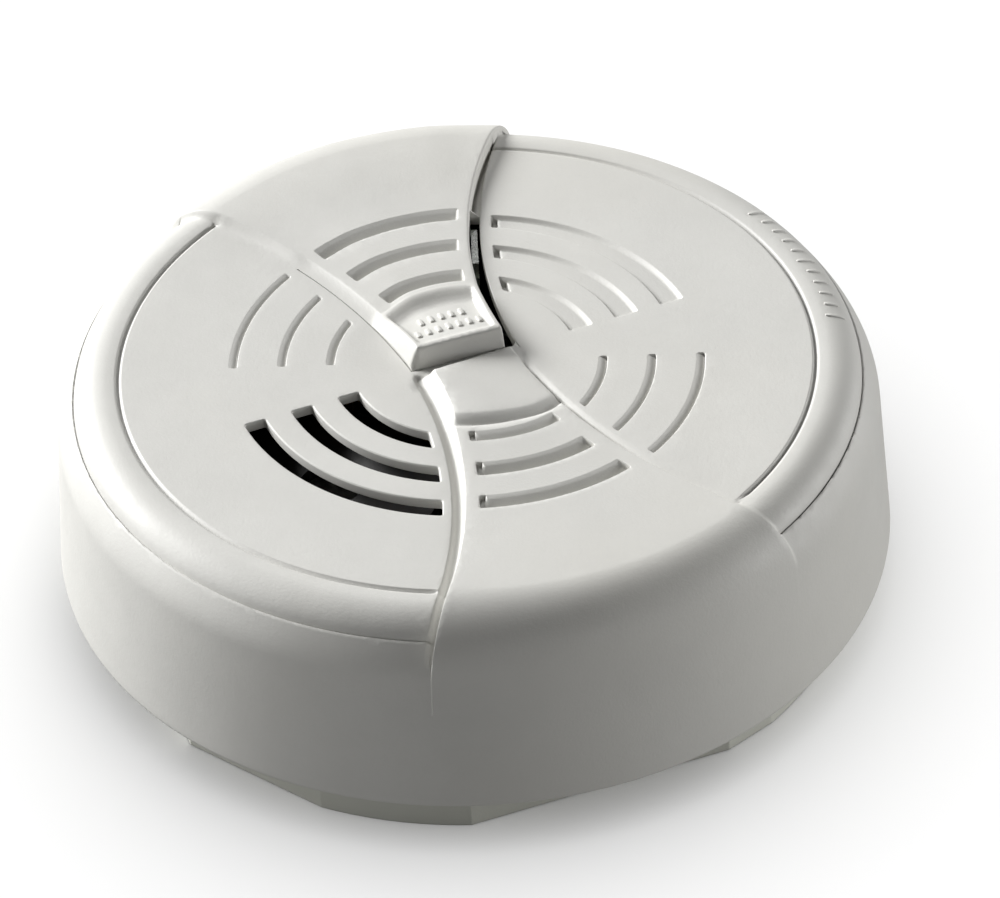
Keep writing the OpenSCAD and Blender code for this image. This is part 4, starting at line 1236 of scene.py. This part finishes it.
# name, azimuth counter-clockwise from +X, elevation, angular width (degrees),
# brightness of a grey face square to it
SUNS = [("key_left", 145, 24, 26, 1.72), ("key_back", 100, 45, 30, 0.22),
        ("left_low", 165, 24, 26, 0.15), ("left_fill", 185, 8, 26, 0.24),
        ("right_low", 0, 8, 26, 0.40), ("rim_right", 25, 8, 26, 0.34),
        ("front_fill", 300, 8, 26, 0.13)]
FLOOR_SUN = ("floor_light", 90, 88, 160, 1.17)
FLOOR_SEEN, FLOOR_BOUNCE = 0.93, 0.25    # floor's grey to the camera, and to all other rays


def add_camera():
    cam = bpy.data.cameras.new("camera")
    ob = bpy.data.objects.new("camera", cam)
    bpy.context.scene.collection.objects.link(ob)
    e = math.radians(CAMERA_ELEVATION)
    pose = np.eye(4)
    pose[:3, :3] = np.array(CAMERA_AXES).T
    pose[:3, 3] = (np.array([0, -math.cos(e), math.sin(e)]) * CAMERA_DISTANCE + [0, 0, ZR]) * MM
    ob.matrix_world = Matrix(pose.tolist())
    cam.sensor_width = 36
    cam.lens = 217.68534
    cam.clip_start = 0.01
    bpy.context.scene.camera = ob


def add_world():
    world = bpy.data.worlds.new("world")
    bpy.context.scene.world = world
    world.use_nodes = True
    background = world.node_tree.nodes["Background"]
    background.inputs["Color"].default_value = (1, 1, 1, 1)
    background.inputs["Strength"].default_value = 0.01


def soft_sun(name, azimuth, elevation, width, brightness):
    """A large far light."""
    sun = bpy.data.lights.new(name, "SUN")
    sun.angle = math.radians(width)
    sun.energy = brightness * math.pi
    ob = bpy.data.objects.new(name, sun)
    bpy.context.scene.collection.objects.link(ob)
    a, e = math.radians(azimuth), math.radians(elevation)
    d = Vector((-math.cos(e) * math.cos(a), -math.cos(e) * math.sin(a), -math.sin(e)))
    ob.rotation_euler = d.to_track_quat("-Z", "Y").to_euler()
    ob.location = -d * 0.8
    return ob


def floor_paint():
    """Light grey to the camera, darker to every other ray so that it bounces little light."""
    material = bpy.data.materials.new("floor_paint")
    material.use_nodes = True
    nodes, links = material.node_tree.nodes, material.node_tree.links
    nodes.clear()
    out = nodes.new("ShaderNodeOutputMaterial")
    mix = nodes.new("ShaderNodeMixShader")
    rays = nodes.new("ShaderNodeLightPath")
    links.new(rays.outputs["Is Camera Ray"], mix.inputs[0])
    for i, grey in ((2, FLOOR_SEEN), (1, FLOOR_BOUNCE)):
        paint = nodes.new("ShaderNodeBsdfDiffuse")
        paint.inputs[0].default_value = (grey, grey, grey, 1)
        links.new(paint.outputs[0], mix.inputs[i])
    links.new(mix.outputs[0], out.inputs[0])
    return material


def floor_link(name, floor, state):
    """Light-linking collection that takes the floor in or leaves it out."""
    group = bpy.data.collections.new(name)
    group.objects.link(floor)
    group.collection_objects[0].light_linking.link_state = state
    return group


add_camera()
add_world()
suns = [soft_sun(*row) for row in SUNS]
floor_light = soft_sun(*FLOOR_SUN)
bpy.ops.mesh.primitive_plane_add(size=6, location=(0, 0, -0.0002))
floor = bpy.context.object
floor.name = "floor"
floor.data.materials.append(floor_paint())
# the object's lights leave the floor alone, and the floor has its own even light
no_floor = floor_link("lit_object", floor, "EXCLUDE")
only_floor = floor_link("lit_floor", floor, "INCLUDE")
for sun in suns:
    sun.light_linking.receiver_collection = no_floor
floor_light.light_linking.receiver_collection = only_floor
bpy.context.scene.view_settings.view_transform = "Standard"
